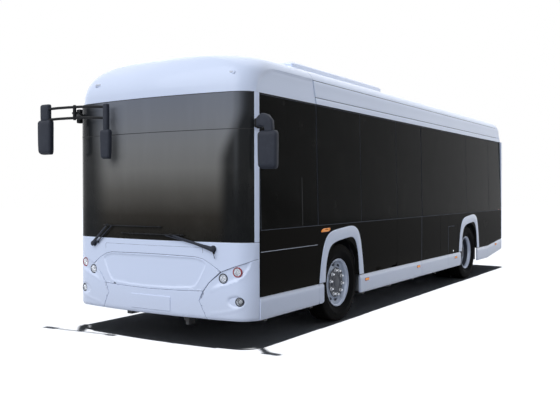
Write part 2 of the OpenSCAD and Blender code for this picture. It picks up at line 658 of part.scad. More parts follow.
// ---------------------------------------------------------------- doors
// a leaf between stations a and b on the -X side; ground-hugging frame with one tall window
module leaf_frame(a, b) difference() {
  slab(-leaf_x - leaf_t / 2, -leaf_x + leaf_t / 2, a, b, leaf_z, leaf_z + leaf_h);
  for (q = POSTS, z = [leaf_z - 1, leaf_z + leaf_h - 22]) if (q > a && q < b)
    zcyl(post_r + pin_gap, z, z + 23, -leaf_x, q);
  slab(-leaf_x - 40, -leaf_x + 40, a + 60, b - 60, leaf_z + 120, leaf_z + leaf_h - 80);
}
module leaf_glass(a, b) slab(-leaf_x - 4, -leaf_x + 4, a + 60 + fit, b - 60 - fit,
  leaf_z + 120 + fit, leaf_z + leaf_h - 80 - fit);
LEAVES = [[s_door_a + 15, mid_ab - 6], [mid_ab + 6, s_door_b - 15],
          [s_door_c + 15, mid_cd - 6], [mid_cd + 6, s_door_d - 15]];
module front_door_fore_leaf() color("#22252b") at_seam() leaf_frame(LEAVES[0][0], LEAVES[0][1]);
module front_door_fore_glass() color("#101216") at_seam() leaf_glass(LEAVES[0][0], LEAVES[0][1]);
module front_door_aft_leaf() color("#22252b") at_seam() leaf_frame(LEAVES[1][0], LEAVES[1][1]);
module front_door_aft_glass() color("#101216") at_seam() leaf_glass(LEAVES[1][0], LEAVES[1][1]);
module middle_door_fore_leaf() color("#22252b") at_seam() leaf_frame(LEAVES[2][0], LEAVES[2][1]);
module middle_door_fore_glass() color("#101216") at_seam()
  leaf_glass(LEAVES[2][0], LEAVES[2][1]);
module middle_door_aft_leaf() color("#22252b") at_seam() leaf_frame(LEAVES[3][0], LEAVES[3][1]);
module middle_door_aft_glass() color("#101216") at_seam() leaf_glass(LEAVES[3][0], LEAVES[3][1]);

// ---------------------------------------------------------------- mirrors and wipers
module tube(p, q, r) {
  v = q - p;
  n = norm(v);
  translate(p) rotate([0, acos(v[2] / n), atan2(v[1], v[0])]) cylinder(r = r, h = n);
}
module body_skin(i, z0, z1) intersection() {
  plan_solid(i, z0, z1);
  xz(s_front - 40, 300) section2d(i);
}
// plate with rounded corners standing across the bus, its front face at s
module head(x0, x1, s, t, z0, z1, r) xz(s, s + t) translate([x0, z0]) rrect(x1 - x0, z1 - z0, r);
module mirrors() color("#3a3f4a") at_seam() {
  // left: foot on the pillar, arm, shroud and head
  difference() {
    slab(w - 50, w + 40, -100, -12, 2265, 2365);
    body_skin(-fit, 2200, 2400);
  }
  slab(w + 15, mirror_reach - 100, -170, -90, 2285, 2345);
  head(mirror_reach - 225, mirror_reach, -235, 85, 1840, 2225, 60);
  head(mirror_reach - 215, mirror_reach - 65, -215, 75, 2215, 2390, 50);
  // right: bar round the corner from the pillar to two tubes that carry both heads
  difference() {
    slab(-w - 45, -w + 50, -75, -8, 2435, 2615);
    body_skin(-fit, 2400, 2636);
  }
  translate([0, 0, 2435]) linear_extrude(180)
    polygon([[-1022, -376], [-1000, -354], [-1280, -44], [-1302, -66]]);
  for (z = [2460, 2585]) tube([-540, -345, z], [-mirror_reach + 110, -405, z], 16);
  head(-mirror_reach, -mirror_reach + 225, -450, 85, 2055, 2470, 60);
  head(-mirror_reach + 40, -mirror_reach + 190, -440, 70, 2440, 2650, 50);
  head(-640, -490, -385, 70, 1985, 2315, 45);
  head(-620, -520, -375, 60, 2290, 2605, 35);
}
module wiper(px, ex, ez, b0, b1) {
  ycyl(22, -300, front_s(abs(px) - 22) - 0.4, px, 1025);
  tube([px, -290, 1025], [ex, -300, ez], 9);
  translate([b0, -300, ez - 9]) cube([b1 - b0, 16, 18]);
}
module wipers() color("#15161a") at_seam() {
  wiper(830, 320, 1160, -420, 480);
  wiper(-900, -640, 1240, -720, 180);
}

// ---------------------------------------------------------------- cabin fittings
SEATS = [ // x of the middle, station of the cushion front, floor under it
  [[860, 2650, floor_z], [860, 3450, floor_z], [860, 4250 - 60, floor_z], [860, 4900, floor_z],
   [-860, 2560, floor_z], [-860, 4900, floor_z],
   [860, 5760, deck_z], [-860, 5760, deck_z], [860, 7700, deck_z], [-860, 7700, deck_z]]];
module seat_pair(x, s, z) translate([x, s, z]) {
  slab(-30, 30, 120, 330, 0, 300 - fit);
  slab(-300, 300, 0, 430, 300, 400);
  xz(390, 480) translate([-300, 400 + fit]) rrect(600, 520 - fit, 60);
}
module seats() color("#2b3f6b") at_seam() for (q = SEATS[0]) seat_pair(q[0], q[1], q[2]);
POLES = [[-520, 1500], [-520, 2480], [-520, 3560], [-520, 4960], [480, 3250], [480, 4800]];
module handrails() color("#d9b21c") at_seam() {
  for (p = POLES) zcyl(18, floor_z, 2184 - fit, p[0], p[1]);
  for (x = [-520, 480]) {
    translate([x, 1400, 2200]) rotate([-90, 0, 0]) cylinder(r = 16, h = 5000);
    for (s = [1450, 3420, 6380]) zcyl(12, 2216 + fit, roof_top - 65.5, x, s);
    zcyl(18, deck_z, 2184 - fit, x, 6300);
  }
}
module driver_station() color("#33363c") at_seam() {
  yz(-300, 1120) polygon([[-20, floor_z], [60, floor_z], [60, 900], [330, 960], [300, 1050],
                          [80, 1090], [-20, 1070]]);
  tube([700, 300, 980], [700, 430, 1040], 26);
  translate([700, 440, 1045]) rotate([-25, 0, 0]) rotate_extrude() translate([225, 0]) circle(16);
  translate([700, 440, 1045]) rotate([-25, 0, 0]) {
    translate([0, 0, -14]) cylinder(r = 45, h = 28);
    for (a = [0, 120, 240]) rotate([0, 0, a]) translate([30, -12, -7]) cube([190, 24, 14]);
  }
  translate([700, 0, 0]) {
    slab(-60, 60, 800, 1000, floor_z, 600);
    slab(-230, 230, 640, 1130, 600, 720);
    xz(1080, 1190) translate([-230, 720]) rrect(460, 700, 90);
  }
  slab(250, w - wall_t - 20, 1240, 1262, floor_z, 2000);
}

underframe();
cabin_floor();
left_wall();
right_wall();
rear_wall();
roof_shell();
front_roof_cap();
roof_unit();
front_mask();
bumpers();
windshield();
windows();
side_skirts();
arch_trims();
rear_deck();
wheel_boxes();
headlamps();
tail_lamps();
wipers();
mirrors();
driver_station();
seats();
handrails();
front_axle();
rear_axle();
engine_block();
front_hatch();
rear_hatch();
service_flap();
left_knuckle();
right_knuckle();
front_left_tyre();
front_left_rim();
front_right_tyre();
front_right_rim();
rear_left_tyres();
rear_left_rims();
rear_right_tyres();
rear_right_rims();
front_door_fore_leaf();
front_door_fore_glass();
front_door_aft_leaf();
front_door_aft_glass();
middle_door_fore_leaf();
middle_door_fore_glass();
middle_door_aft_leaf();
middle_door_aft_glass();
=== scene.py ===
"""Looks of a single-deck city bus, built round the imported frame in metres."""

import logging
import math
from dataclasses import dataclass, field
from enum import Enum
from typing import Callable, Iterable, Sequence

import bmesh
import bpy
from mathutils import Matrix, Vector, geometry


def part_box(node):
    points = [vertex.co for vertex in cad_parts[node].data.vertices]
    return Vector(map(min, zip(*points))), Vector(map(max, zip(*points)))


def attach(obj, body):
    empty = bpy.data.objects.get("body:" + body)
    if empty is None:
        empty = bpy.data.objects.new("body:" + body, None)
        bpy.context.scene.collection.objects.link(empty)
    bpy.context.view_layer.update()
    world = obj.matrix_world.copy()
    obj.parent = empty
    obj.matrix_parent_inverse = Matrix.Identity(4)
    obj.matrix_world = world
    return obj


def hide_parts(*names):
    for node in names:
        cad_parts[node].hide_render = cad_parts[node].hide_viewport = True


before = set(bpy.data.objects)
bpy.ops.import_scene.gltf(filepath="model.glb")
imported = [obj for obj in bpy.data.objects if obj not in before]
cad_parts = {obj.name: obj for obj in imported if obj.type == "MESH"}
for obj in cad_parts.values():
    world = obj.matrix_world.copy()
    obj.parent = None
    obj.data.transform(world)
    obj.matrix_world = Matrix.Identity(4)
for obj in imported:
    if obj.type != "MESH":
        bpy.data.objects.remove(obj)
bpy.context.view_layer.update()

LOG = logging.getLogger("bus")
Point = tuple[float, float]
Colour = tuple[float, float, float]
Relief = Callable[[float, float], float]


# ------------------------------------------------------------------ sizes
@dataclass(frozen=True)
class Shell:
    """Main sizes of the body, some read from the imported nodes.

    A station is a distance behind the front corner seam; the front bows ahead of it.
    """

    half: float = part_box("windows")[1].x
    seam_y: float = (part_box("front_left_tyre")[0].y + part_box("front_left_tyre")[1].y) / 2 - 1.862
    roof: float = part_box("roof_shell")[1].z
    pod_top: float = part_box("roof_unit")[1].z
    tyre_r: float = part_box("front_left_tyre")[1].z / 2
    front: float = -0.26
    rear: float = 9.43
    front_axle: float = 1.862
    rear_axle: float = 7.002
    front_bow: float = 7.0
    front_corner: float = 0.25
    rear_bow: float = 11.0
    rear_corner: float = 0.18
    dome: float = 0.45
    rear_dome: float = 0.26
    belt: float = 1.22
    glass_top: float = 2.622
    eave: float = 2.64
    lean: float = 0.03
    edge_r: float = 0.22
    crown_r: float = 7.0
    skirt_low: float = 0.29
    skirt_top: float = 0.53
    cap_joint: float = 1.25

    def y(self, station: float) -> float:
        """Y of a station."""
        return self.seam_y + station


SHELL = Shell()


class Side(Enum):
    """Side of the bus; the value is the sign of X."""

    LEFT = 1
    RIGHT = -1


class End(Enum):
    """End of the bus; the value is the sign of Y."""

    FRONT = -1
    REAR = 1


class Body(Enum):
    """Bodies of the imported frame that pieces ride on."""

    MAIN = "body"
    FRONT_HATCH = "front_hatch"
    REAR_HATCH = "rear_hatch"
    FLAP = "service_flap"
    FRONT_LEFT = "front_left_wheel"
    FRONT_RIGHT = "front_right_wheel"
    REAR_LEFT = "rear_left_wheels"
    REAR_RIGHT = "rear_right_wheels"


# ------------------------------------------------------------------ shader maths
class Wire:
    """A shader socket that takes part in Python arithmetic."""

    def __init__(self, nodes: "Nodes", socket: bpy.types.NodeSocket) -> None:
        """Wraps one output socket."""
        self.nodes = nodes
        self.socket = socket

    def _math(self, operation: str, *values: "Wire | float") -> "Wire":
        """Adds one Math node."""
        return self.nodes.add("ShaderNodeMath", {"operation": operation}, dict(enumerate(values)))

    def __add__(self, other: "Wire | float") -> "Wire":
        """Sum."""
        return self._math("ADD", self, other)

    __radd__ = __add__

    def __mul__(self, other: "Wire | float") -> "Wire":
        """Product."""
        return self._math("MULTIPLY", self, other)

    __rmul__ = __mul__

    def __sub__(self, other: "Wire | float") -> "Wire":
        """Difference."""
        return self._math("SUBTRACT", self, other)

    def __rsub__(self, other: float) -> "Wire":
        """Difference from a number."""
        return self._math("SUBTRACT", other, self)

    def __truediv__(self, other: "Wire | float") -> "Wire":
        """Quotient."""
        return self._math("DIVIDE", self, other)

    def __pow__(self, other: float) -> "Wire":
        """Power."""
        return self._math("POWER", self, other)

    def __abs__(self) -> "Wire":
        """Absolute value."""
        return self._math("ABSOLUTE", self)

    def low(self, other: "Wire | float") -> "Wire":
        """Smaller of two."""
        return self._math("MINIMUM", self, other)

    def high(self, other: "Wire | float") -> "Wire":
        """Larger of two."""
        return self._math("MAXIMUM", self, other)

    def wave(self) -> "Wire":
        """Sine."""
        return self._math("SINE", self)

    def step(self, start: float, end: float, out: Point = (0.0, 1.0)) -> "Wire":
        """Smooth step.

        Args:
            start: value where the step begins.
            end: value where it ends.
            out: results before and after.

        Returns:
            The stepped value.
        """
        return self.nodes.add(
            "ShaderNodeMapRange",
            {"interpolation_type": "SMOOTHSTEP"},
            {"Value": self, "From Min": start, "From Max": end, "To Min": out[0], "To Max": out[1]},
            "Result",
        )


class Nodes:
    """Node tree of one material."""

    def __init__(self, name: str) -> None:
        """Starts an empty material of that name."""
        self.material = bpy.data.materials.new(name)
        self.material.use_nodes = True
        self.tree = self.material.node_tree
        self.tree.nodes.clear()
        self.out = self.tree.nodes.new("ShaderNodeOutputMaterial")

    def add(self, kind: str, settings: dict | None = None, values: dict | None = None,
            output: int | str = 0) -> Wire:
        """Adds any node.

        Args:
            kind: node type.
            settings: attributes set first; "stops" fills a colour ramp.
            values: numbers, colours or wires by socket name or index.
            output: output socket that is returned.

        Returns:
            Wire of the chosen output.
        """
        node = self.tree.nodes.new(kind)
        for key, value in (settings or {}).items():
            if key == "stops":
                ramp = node.color_ramp
                while len(ramp.elements) < len(value):
                    ramp.elements.new(0.5)
                for element, (place, colour) in zip(ramp.elements, value):
                    element.position, element.color = place, (*colour, 1.0)
            else:
                setattr(node, key, value)
        for key, value in (values or {}).items():
            socket = node.inputs[key]
            if isinstance(value, Wire):
                self.tree.links.new(value.socket, socket)
            elif isinstance(value, tuple) and len(value) == 3 and socket.type == "RGBA":
                socket.default_value = (*value, 1.0)
            else:
                socket.default_value = value
        return Wire(self, node.outputs[output])

    def place(self) -> Wire:
        """Object coordinates, which are the frame's metres."""
        return self.add("ShaderNodeTexCoord", output="Object")

    def axes(self, wire: Wire) -> tuple[Wire, Wire, Wire]:
        """Splits a vector into x, y and z."""
        split = self.add("ShaderNodeSeparateXYZ", values={0: wire})
        outs = split.socket.node.outputs
        return tuple(Wire(self, outs[i]) for i in range(3))

    def vector(self, x: Wire | float, y: Wire | float, z: Wire | float) -> Wire:
        """Joins x, y and z into a vector."""
        return self.add("ShaderNodeCombineXYZ", values={0: x, 1: y, 2: z})

    def noise(self, scale: float, detail: float = 3.0, where: Wire | None = None,
              rough: float = 0.5) -> Wire:
        """Noise value.

        Args:
            scale: cells per metre.
            detail: octaves.
            where: coordinates, or the object's own.
            rough: weight of the finer octaves.

        Returns:
            Wire from 0 to 1.
        """
        return self.add("ShaderNodeTexNoise", values={
            "Vector": where or self.place(), "Scale": scale, "Detail": detail, "Roughness": rough})

    def cells(self, scale: float, feature: str = "F1", where: Wire | None = None) -> Wire:
        """Distance in a cell pattern."""
        return self.add("ShaderNodeTexVoronoi", {"feature": feature},
                        {"Vector": where or self.place(), "Scale": scale}, "Distance")

    def mix(self, share: Wire | float, first: Wire | Colour, second: Wire | Colour,
            blend: str = "MIX") -> Wire:
        """Mixes two colours.

        Args:
            share: part of the second colour.
            first: colour or wire.
            second: colour or wire.
            blend: blend mode.

        Returns:
            Wire of the colour.
        """
        node = self.tree.nodes.new("ShaderNodeMix")
        node.data_type, node.blend_type = "RGBA", blend
        for socket, value in ((node.inputs[0], share), (node.inputs[6], first),
                              (node.inputs[7], second)):
            if isinstance(value, Wire):
                self.tree.links.new(value.socket, socket)
            else:
                socket.default_value = (*value, 1.0) if isinstance(value, tuple) else value
        return Wire(self, node.outputs[2])

    def bump(self, height: Wire, depth: float, strength: float = 1.0) -> Wire:
        """Normal from a height in metres."""
        return self.add("ShaderNodeBump", values={
            "Height": height, "Distance": depth, "Strength": strength})

    def principled(self, **values: "Wire | float | Colour") -> Wire:
        """Principled shader; words in a name stand for the socket's spaced words."""
        named = {key.replace("_", " "): value for key, value in values.items()}
        return self.add("ShaderNodeBsdfPrincipled", values=named)

    def finish(self, shader: Wire) -> bpy.types.Material:
        """Joins the shader to the output and returns the material."""
        self.tree.links.new(shader.socket, self.out.inputs[0])
        return self.material


# ------------------------------------------------------------------ finishes
@dataclass(frozen=True)
class Finish:
    """A surface finish; the material is made once and shared."""

    name: str
    slot: str

    def make(self) -> bpy.types.Material:
        """Returns the material, building it on first use."""
        return bpy.data.materials.get(self.name) or self.build(Nodes(self.name))

    def build(self, nodes: Nodes) -> bpy.types.Material:
        """Builds the node tree."""
        raise NotImplementedError


@dataclass(frozen=True)
class Lacquer(Finish):
    """Painted panel: orange peel, faint cloudiness, road dust low down and a clear coat."""

    colour: Colour = (0.66, 0.74, 0.93)
    gloss: float = 0.30
    coat: float = 0.35
    dust: float = 0.22
    level: float = 0.4

    def build(self, nodes: Nodes) -> bpy.types.Material:
        """Builds the node tree."""
        x, y, z = nodes.axes(nodes.place())
        cloud = nodes.noise(1.7, 4.0)
        speck = nodes.noise(60.0, 6.0, rough=0.7)
        low = z.step(0.75, 0.2) * (0.35 + 0.9 * speck) * self.dust
        base = nodes.mix(cloud.step(0.35, 0.7) * 0.05, self.colour,
                         tuple(0.86 * c for c in self.colour))
        base = nodes.mix(low, base, (0.30, 0.27, 0.23))
        peel = nodes.noise(900.0, 2.0)
        return nodes.finish(nodes.principled(
            Base_Color=base, Roughness=self.gloss + 0.08 * cloud + 0.5 * low,
            Specular_IOR_Level=self.level, Coat_Weight=self.coat * (1.0 - low),
            Coat_Roughness=0.06, Normal=nodes.bump(peel, 0.00004, 0.35)))


@dataclass(frozen=True)
class Glazing(Finish):
    """Tinted glass with a faint film of dust; a share of the light passes through; on the windshield the base colour
    holds painted reflections.
    """

    tint: Colour = (0.010, 0.010, 0.009)
    veil: float = 0.93
    level: float = 0.16
    gloss: float = 0.07
    # colours of the painted reflection, from the bottom of the glass to its top; empty for plain tint
    painted_reflection_colours: tuple[Colour, ...] = ()
    # heights where the painted reflection gradient starts and ends
    low: float = 1.1
    high: float = 2.64

    def build(self, nodes: Nodes) -> bpy.types.Material:
        """Builds the node tree."""
        x, y, z = nodes.axes(nodes.place())
        film = nodes.noise(3.0, 5.0, rough=0.65)
        streak = nodes.noise(7.0, 4.0, nodes.vector(x, y, z * 0.15))
        base = self.tint
        if self.painted_reflection_colours:
            # painted reflection: the base colour runs up the glass through the reflection colours
            height = (z - self.low) / (self.high - self.low)
            steps = [(i / (len(self.painted_reflection_colours) - 1), c) for i, c in enumerate(self.painted_reflection_colours)]
            base = nodes.add("ShaderNodeValToRGB", {"stops": steps}, {0: height})
            # painted reflection: darker streaks at both ends of the glass, slanting with height
            lift = z.step(1.9, 2.5) * 0.20
            left = (x - lift + 0.03 * streak).step(0.86, 1.03)
            right = (x + 0.35 * lift - 0.05 * streak).step(-0.62, -0.98)
            base = nodes.mix((left + right).low(1.0) * 0.93, base, (0.008, 0.009, 0.010))
            # painted reflection: a pale vertical band near x = 1.10
            band = abs(x - 1.10 + 0.02 * streak).step(0.045, 0.0) * z.step(1.3, 2.2)
            base = nodes.mix(band * 0.22, base, (0.11, 0.12, 0.13))
        base = nodes.mix(film.step(0.45, 0.8) * 0.05, base, (0.20, 0.19, 0.17))
        return nodes.finish(nodes.principled(
            Base_Color=base, Roughness=self.gloss + 0.05 * film, Specular_IOR_Level=self.level,
            Alpha=self.veil + 0.04 * streak.step(0.4, 0.7),
            Normal=nodes.bump(nodes.noise(1.3, 1.0), 0.0015, 0.25)))


@dataclass(frozen=True)
class Moulded(Finish):
    """Moulded plastic or rubber with a fine grain and rubbed patches."""

    colour: Colour = (0.03, 0.03, 0.032)
    gloss: float = 0.5
    grain: float = 700.0
    depth: float = 0.0002
    level: float = 0.4

    def build(self, nodes: Nodes) -> bpy.types.Material:
        """Builds the node tree."""
        grain = nodes.cells(self.grain)
        wear = nodes.noise(14.0, 5.0, rough=0.62)
        base = nodes.mix(wear.step(0.45, 0.75) * 0.35, self.colour,
                         tuple(min(1.0, 1.5 * c + 0.012) for c in self.colour))
        base = nodes.mix(grain * 0.25, base, tuple(0.7 * c for c in self.colour))
        return nodes.finish(nodes.principled(
            Base_Color=base, Roughness=self.gloss + 0.2 * wear - 0.06 * grain,
            Specular_IOR_Level=self.level, Normal=nodes.bump(grain, self.depth, 0.5)))


@dataclass(frozen=True)
class Metal(Finish):
    """Bare, cast or painted metal with brushed streaks and patches of grime."""

    colour: Colour = (0.6, 0.62, 0.66)
    metallic: float = 0.9
    gloss: float = 0.3
    grime: float = 0.25
    streak: float = 90.0

    def build(self, nodes: Nodes) -> bpy.types.Material:
        """Builds the node tree."""
        x, y, z = nodes.axes(nodes.place())
        lines = nodes.noise(self.streak, 3.0, nodes.vector(x * 6.0, y, z))
        dirt = nodes.noise(9.0, 7.0, rough=0.7)
        grime = dirt.step(0.45, 0.72) * self.grime
        base = nodes.mix(lines * 0.2, self.colour, tuple(0.72 * c for c in self.colour))
        base = nodes.mix(grime, base, (0.055, 0.045, 0.036))
        return nodes.finish(nodes.principled(
            Base_Color=base, Metallic=self.metallic - 0.6 * grime,
            Roughness=self.gloss + 0.12 * lines + 0.5 * grime,
            Normal=nodes.bump(lines + 0.6 * dirt, 0.0003, 0.3)))


@dataclass(frozen=True)
class Tread(Finish):
    """Tyre rubber: scuffed, dusty towards the ground, with fine moulding lines round it."""

    centre: Point = (0.0, 0.0)

    def build(self, nodes: Nodes) -> bpy.types.Material:
        """Builds the node tree."""
        x, y, z = nodes.axes(nodes.place())
        dy, dz = y - self.centre[0], z - self.centre[1]
        radius = (dy * dy + dz * dz) ** 0.5
        rings = (radius * 2600.0).wave()
        scuff = nodes.noise(30.0, 6.0, rough=0.7)
        dust = radius.step(0.36, 0.475) * scuff * 0.28
        base = nodes.mix(scuff * 0.3, (0.005, 0.005, 0.0055), (0.014, 0.0135, 0.013))
        base = nodes.mix(dust, base, (0.035, 0.032, 0.027))
        height = rings * 0.15 * radius.step(0.46, 0.44) + scuff
        return nodes.finish(nodes.principled(
            Base_Color=base, Roughness=0.72 + 0.2 * scuff, Specular_IOR_Level=0.03,
            Normal=nodes.bump(height, 0.0005, 0.5)))


@dataclass(frozen=True)
class Lens(Finish):
    """Coloured lamp lens with fluting."""

    colour: Colour = (1.0, 0.36, 0.03)
    glow: float = 0.0
    veil: float = 1.0
    flutes: float = 900.0

    def build(self, nodes: Nodes) -> bpy.types.Material:
        """Builds the node tree."""
        x, y, z = nodes.axes(nodes.place())
        flute = ((x + y) * self.flutes).wave() * (z * self.flutes).wave()
        film = nodes.noise(40.0, 3.0)
        base = nodes.mix(0.3 + 0.25 * flute, self.colour, tuple(0.7 * c for c in self.colour))
        return nodes.finish(nodes.principled(
            Base_Color=base, Roughness=0.12 + 0.1 * film, Alpha=self.veil + 0.02 * film,
            Coat_Weight=0.10 + 0.1 * film, Specular_IOR_Level=0.2, Emission_Color=base, Emission_Strength=self.glow,
            Normal=nodes.bump(flute, 0.0003, 0.5)))


@dataclass(frozen=True)
class Weave(Finish):
    """Flat-woven moquette with a small two-tone check and a fuzzy sheen."""

    colour: Colour = (0.022, 0.045, 0.13)
    fleck: Colour = (0.10, 0.16, 0.30)

    def build(self, nodes: Nodes) -> bpy.types.Material:
        """Builds the node tree."""
        x, y, z = nodes.axes(nodes.place())
        warp = (x * 2600.0).wave() * ((y + z) * 2600.0).wave()
        check = ((x * 110.0).wave() * ((y + z) * 110.0).wave()).step(0.15, 0.45)
        rub = nodes.noise(9.0, 5.0)
        base = nodes.mix(check * 0.65, self.colour, self.fleck)
        base = nodes.mix(warp.step(-0.4, 0.8) * 0.35, base, tuple(0.55 * c for c in self.colour))
        base = nodes.mix(rub.step(0.5, 0.8) * 0.2, base, (0.16, 0.18, 0.22))
        return nodes.finish(nodes.principled(
            Base_Color=base, Roughness=0.85 + 0.1 * rub, Sheen_Weight=0.3, Sheen_Roughness=0.4,
            Specular_IOR_Level=0.2, Normal=nodes.bump(warp, 0.0006, 0.6)))


@dataclass(frozen=True)
class Speckle(Finish):
    """Sheet vinyl with mineral flecks and walked-in scuffs."""

    colour: Colour = (0.17, 0.18, 0.20)

    def build(self, nodes: Nodes) -> bpy.types.Material:
        """Builds the node tree."""
        fleck = nodes.cells(260.0)
        scuff = nodes.noise(5.0, 6.0, rough=0.65)
        base = nodes.mix(fleck.step(0.25, 0.12), self.colour, (0.42, 0.43, 0.46))
        base = nodes.mix(scuff.step(0.4, 0.8) * 0.4, base, (0.09, 0.085, 0.08))
        return nodes.finish(nodes.principled(
            Base_Color=base, Roughness=0.5 + 0.3 * scuff,
            Normal=nodes.bump(fleck, 0.0003, 0.3)))


class Look:
    """The bus's finishes."""

    PAINT = Lacquer("body_lacquer", "body_paint")
    ROOF = Lacquer("roof_lacquer", "body_paint", (0.67, 0.75, 0.93), 0.38, 0.2)
    PANEL = Lacquer("black_gloss", "black_panel", (0.0125, 0.0115, 0.0098), 0.22, 0.0, 0.06, 0.004)
    WALL = Moulded("wall_black", "black_panel", (0.010, 0.010, 0.0095), 0.5, 500.0, 0.0001, 0.02)
    # windshield glass whose base colour holds a painted reflection gradient, dark low down and pale blue-grey high up
    SCREEN = Glazing("windshield_painted_reflection", "glass", veil=0.95, level=0.05, gloss=0.09, painted_reflection_colours=(
        (0.012, 0.011, 0.009), (0.032, 0.028, 0.023), (0.100, 0.095, 0.085), (0.190, 0.187, 0.178),
        (0.210, 0.213, 0.215), (0.203, 0.213, 0.235), (0.187, 0.203, 0.240)))
    GLASS = Glazing("side_tint", "glass", level=0.006)
    CLEAR = Glazing("clear_cover", "lamp", (0.75, 0.78, 0.82), 0.22, 0.5, 0.03)
    RUBBER = Moulded("seal_rubber", "dark_trim", (0.012, 0.012, 0.013), 0.62, 900.0, 0.0001)
    PLASTIC = Moulded("mirror_plastic", "dark_trim", (0.028, 0.032, 0.044), 0.5, 650.0, 0.0002, 0.15)
    TRIM = Moulded("dark_plastic", "dark_trim", (0.009, 0.0095, 0.011), 0.5, level=0.12)
    # grey for the pane joints, the cowl seam and the pod slats; in the roof grooves it is painted shade, on the black
    # side panels painted highlights
    SEAM_AND_PAINTED_SEAM_LIGHT = Moulded("seam_grey", "dark_trim", (0.085, 0.095, 0.12), 0.6, 400.0, 0.0001, 0.1)
    # pale metal for the heater wires and the blank plate; on the side bead its paleness is a painted highlight
    PALE_METAL_AND_HIGHLIGHT = Metal("pale_bead", "dark_trim", (0.27, 0.30, 0.36), 0.3, 0.4, 0.1)
    RIM = Metal("rim_lacquer", "rim", (0.42, 0.47, 0.58), 0.3, 0.38, 0.12)
    DISC = Metal("rim_disc", "rim", (0.27, 0.31, 0.39), 0.35, 0.45, 0.5)
    NUT = Metal("bright_nut", "rim", (0.72, 0.74, 0.78), 1.0, 0.18, 0.1)
    HUB = Metal("hub_dark", "chassis", (0.030, 0.036, 0.050), 0.2, 0.5, 0.3)
    CHROME = Metal("lamp_reflector", "lamp", (0.78, 0.80, 0.84), 1.0, 0.12, 0.05)
    CHASSIS = Metal("chassis_black", "chassis", (0.030, 0.031, 0.034), 0.2, 0.55, 0.6)
    CAST = Metal("cast_metal", "chassis", (0.19, 0.20, 0.21), 0.6, 0.5, 0.5)
    AMBER = Lens("amber_lens", "lamp", (1.0, 0.30, 0.004), 0.22)
    RED = Lens("red_lens", "tail_lamp", (0.62, 0.012, 0.010), 0.10)
    WHITE_LENS = Lens("white_lens", "lamp", (0.80, 0.83, 0.88), 0.0, 0.55)
    REDRING = Lens("red_ring", "lamp", (0.40, 0.03, 0.04), 0.02, 1.0, 300.0)
    FABRIC = Weave("seat_moquette", "seat")
    RAIL = Lacquer("rail_yellow", "rail", (0.72, 0.48, 0.03), 0.35, 0.4, 0.0)
    FLOOR = Speckle("floor_vinyl", "cabin")
    CABIN = Moulded("cabin_plastic", "cabin", (0.28, 0.29, 0.31), 0.55, 420.0, 0.0002)


# ------------------------------------------------------------------ mesh helpers
def show(name: str, verts: Sequence[Vector], faces: Sequence[Sequence[int]], look: Finish,
         body: Body | str = Body.MAIN, sharp: float = 35.0) -> bpy.types.Object:
    """Makes a visible piece from a mesh and lets it ride on a body.

    Args:
        name: piece name.
        verts: corners in the frame, in metres.
        faces: corner indices of each face.
        look: finish.
        body: body that carries the piece.
        sharp: edges bent by more degrees than this stay crisp.

    Returns:
        The object.
    """
    mesh = bpy.data.meshes.new(name)
    mesh.from_pydata([tuple(v) for v in verts], [], [list(f) for f in faces])
    work = bmesh.new()
    work.from_mesh(mesh)
    bmesh.ops.remove_doubles(work, verts=work.verts, dist=1e-6)
    bmesh.ops.recalc_face_normals(work, faces=work.faces)
    work.to_mesh(mesh)
    work.free()
    mesh.polygons.foreach_set("use_smooth", [True] * len(mesh.polygons))
    mesh.set_sharp_from_angle(angle=math.radians(sharp))
    mesh.materials.append(look.make())
    piece = bpy.data.objects.new(name, mesh)
    bpy.context.scene.collection.objects.link(piece)
    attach(piece, body.value if isinstance(body, Body) else body)
    LOG.info("%s: %d faces", name, len(mesh.polygons))
    return piece


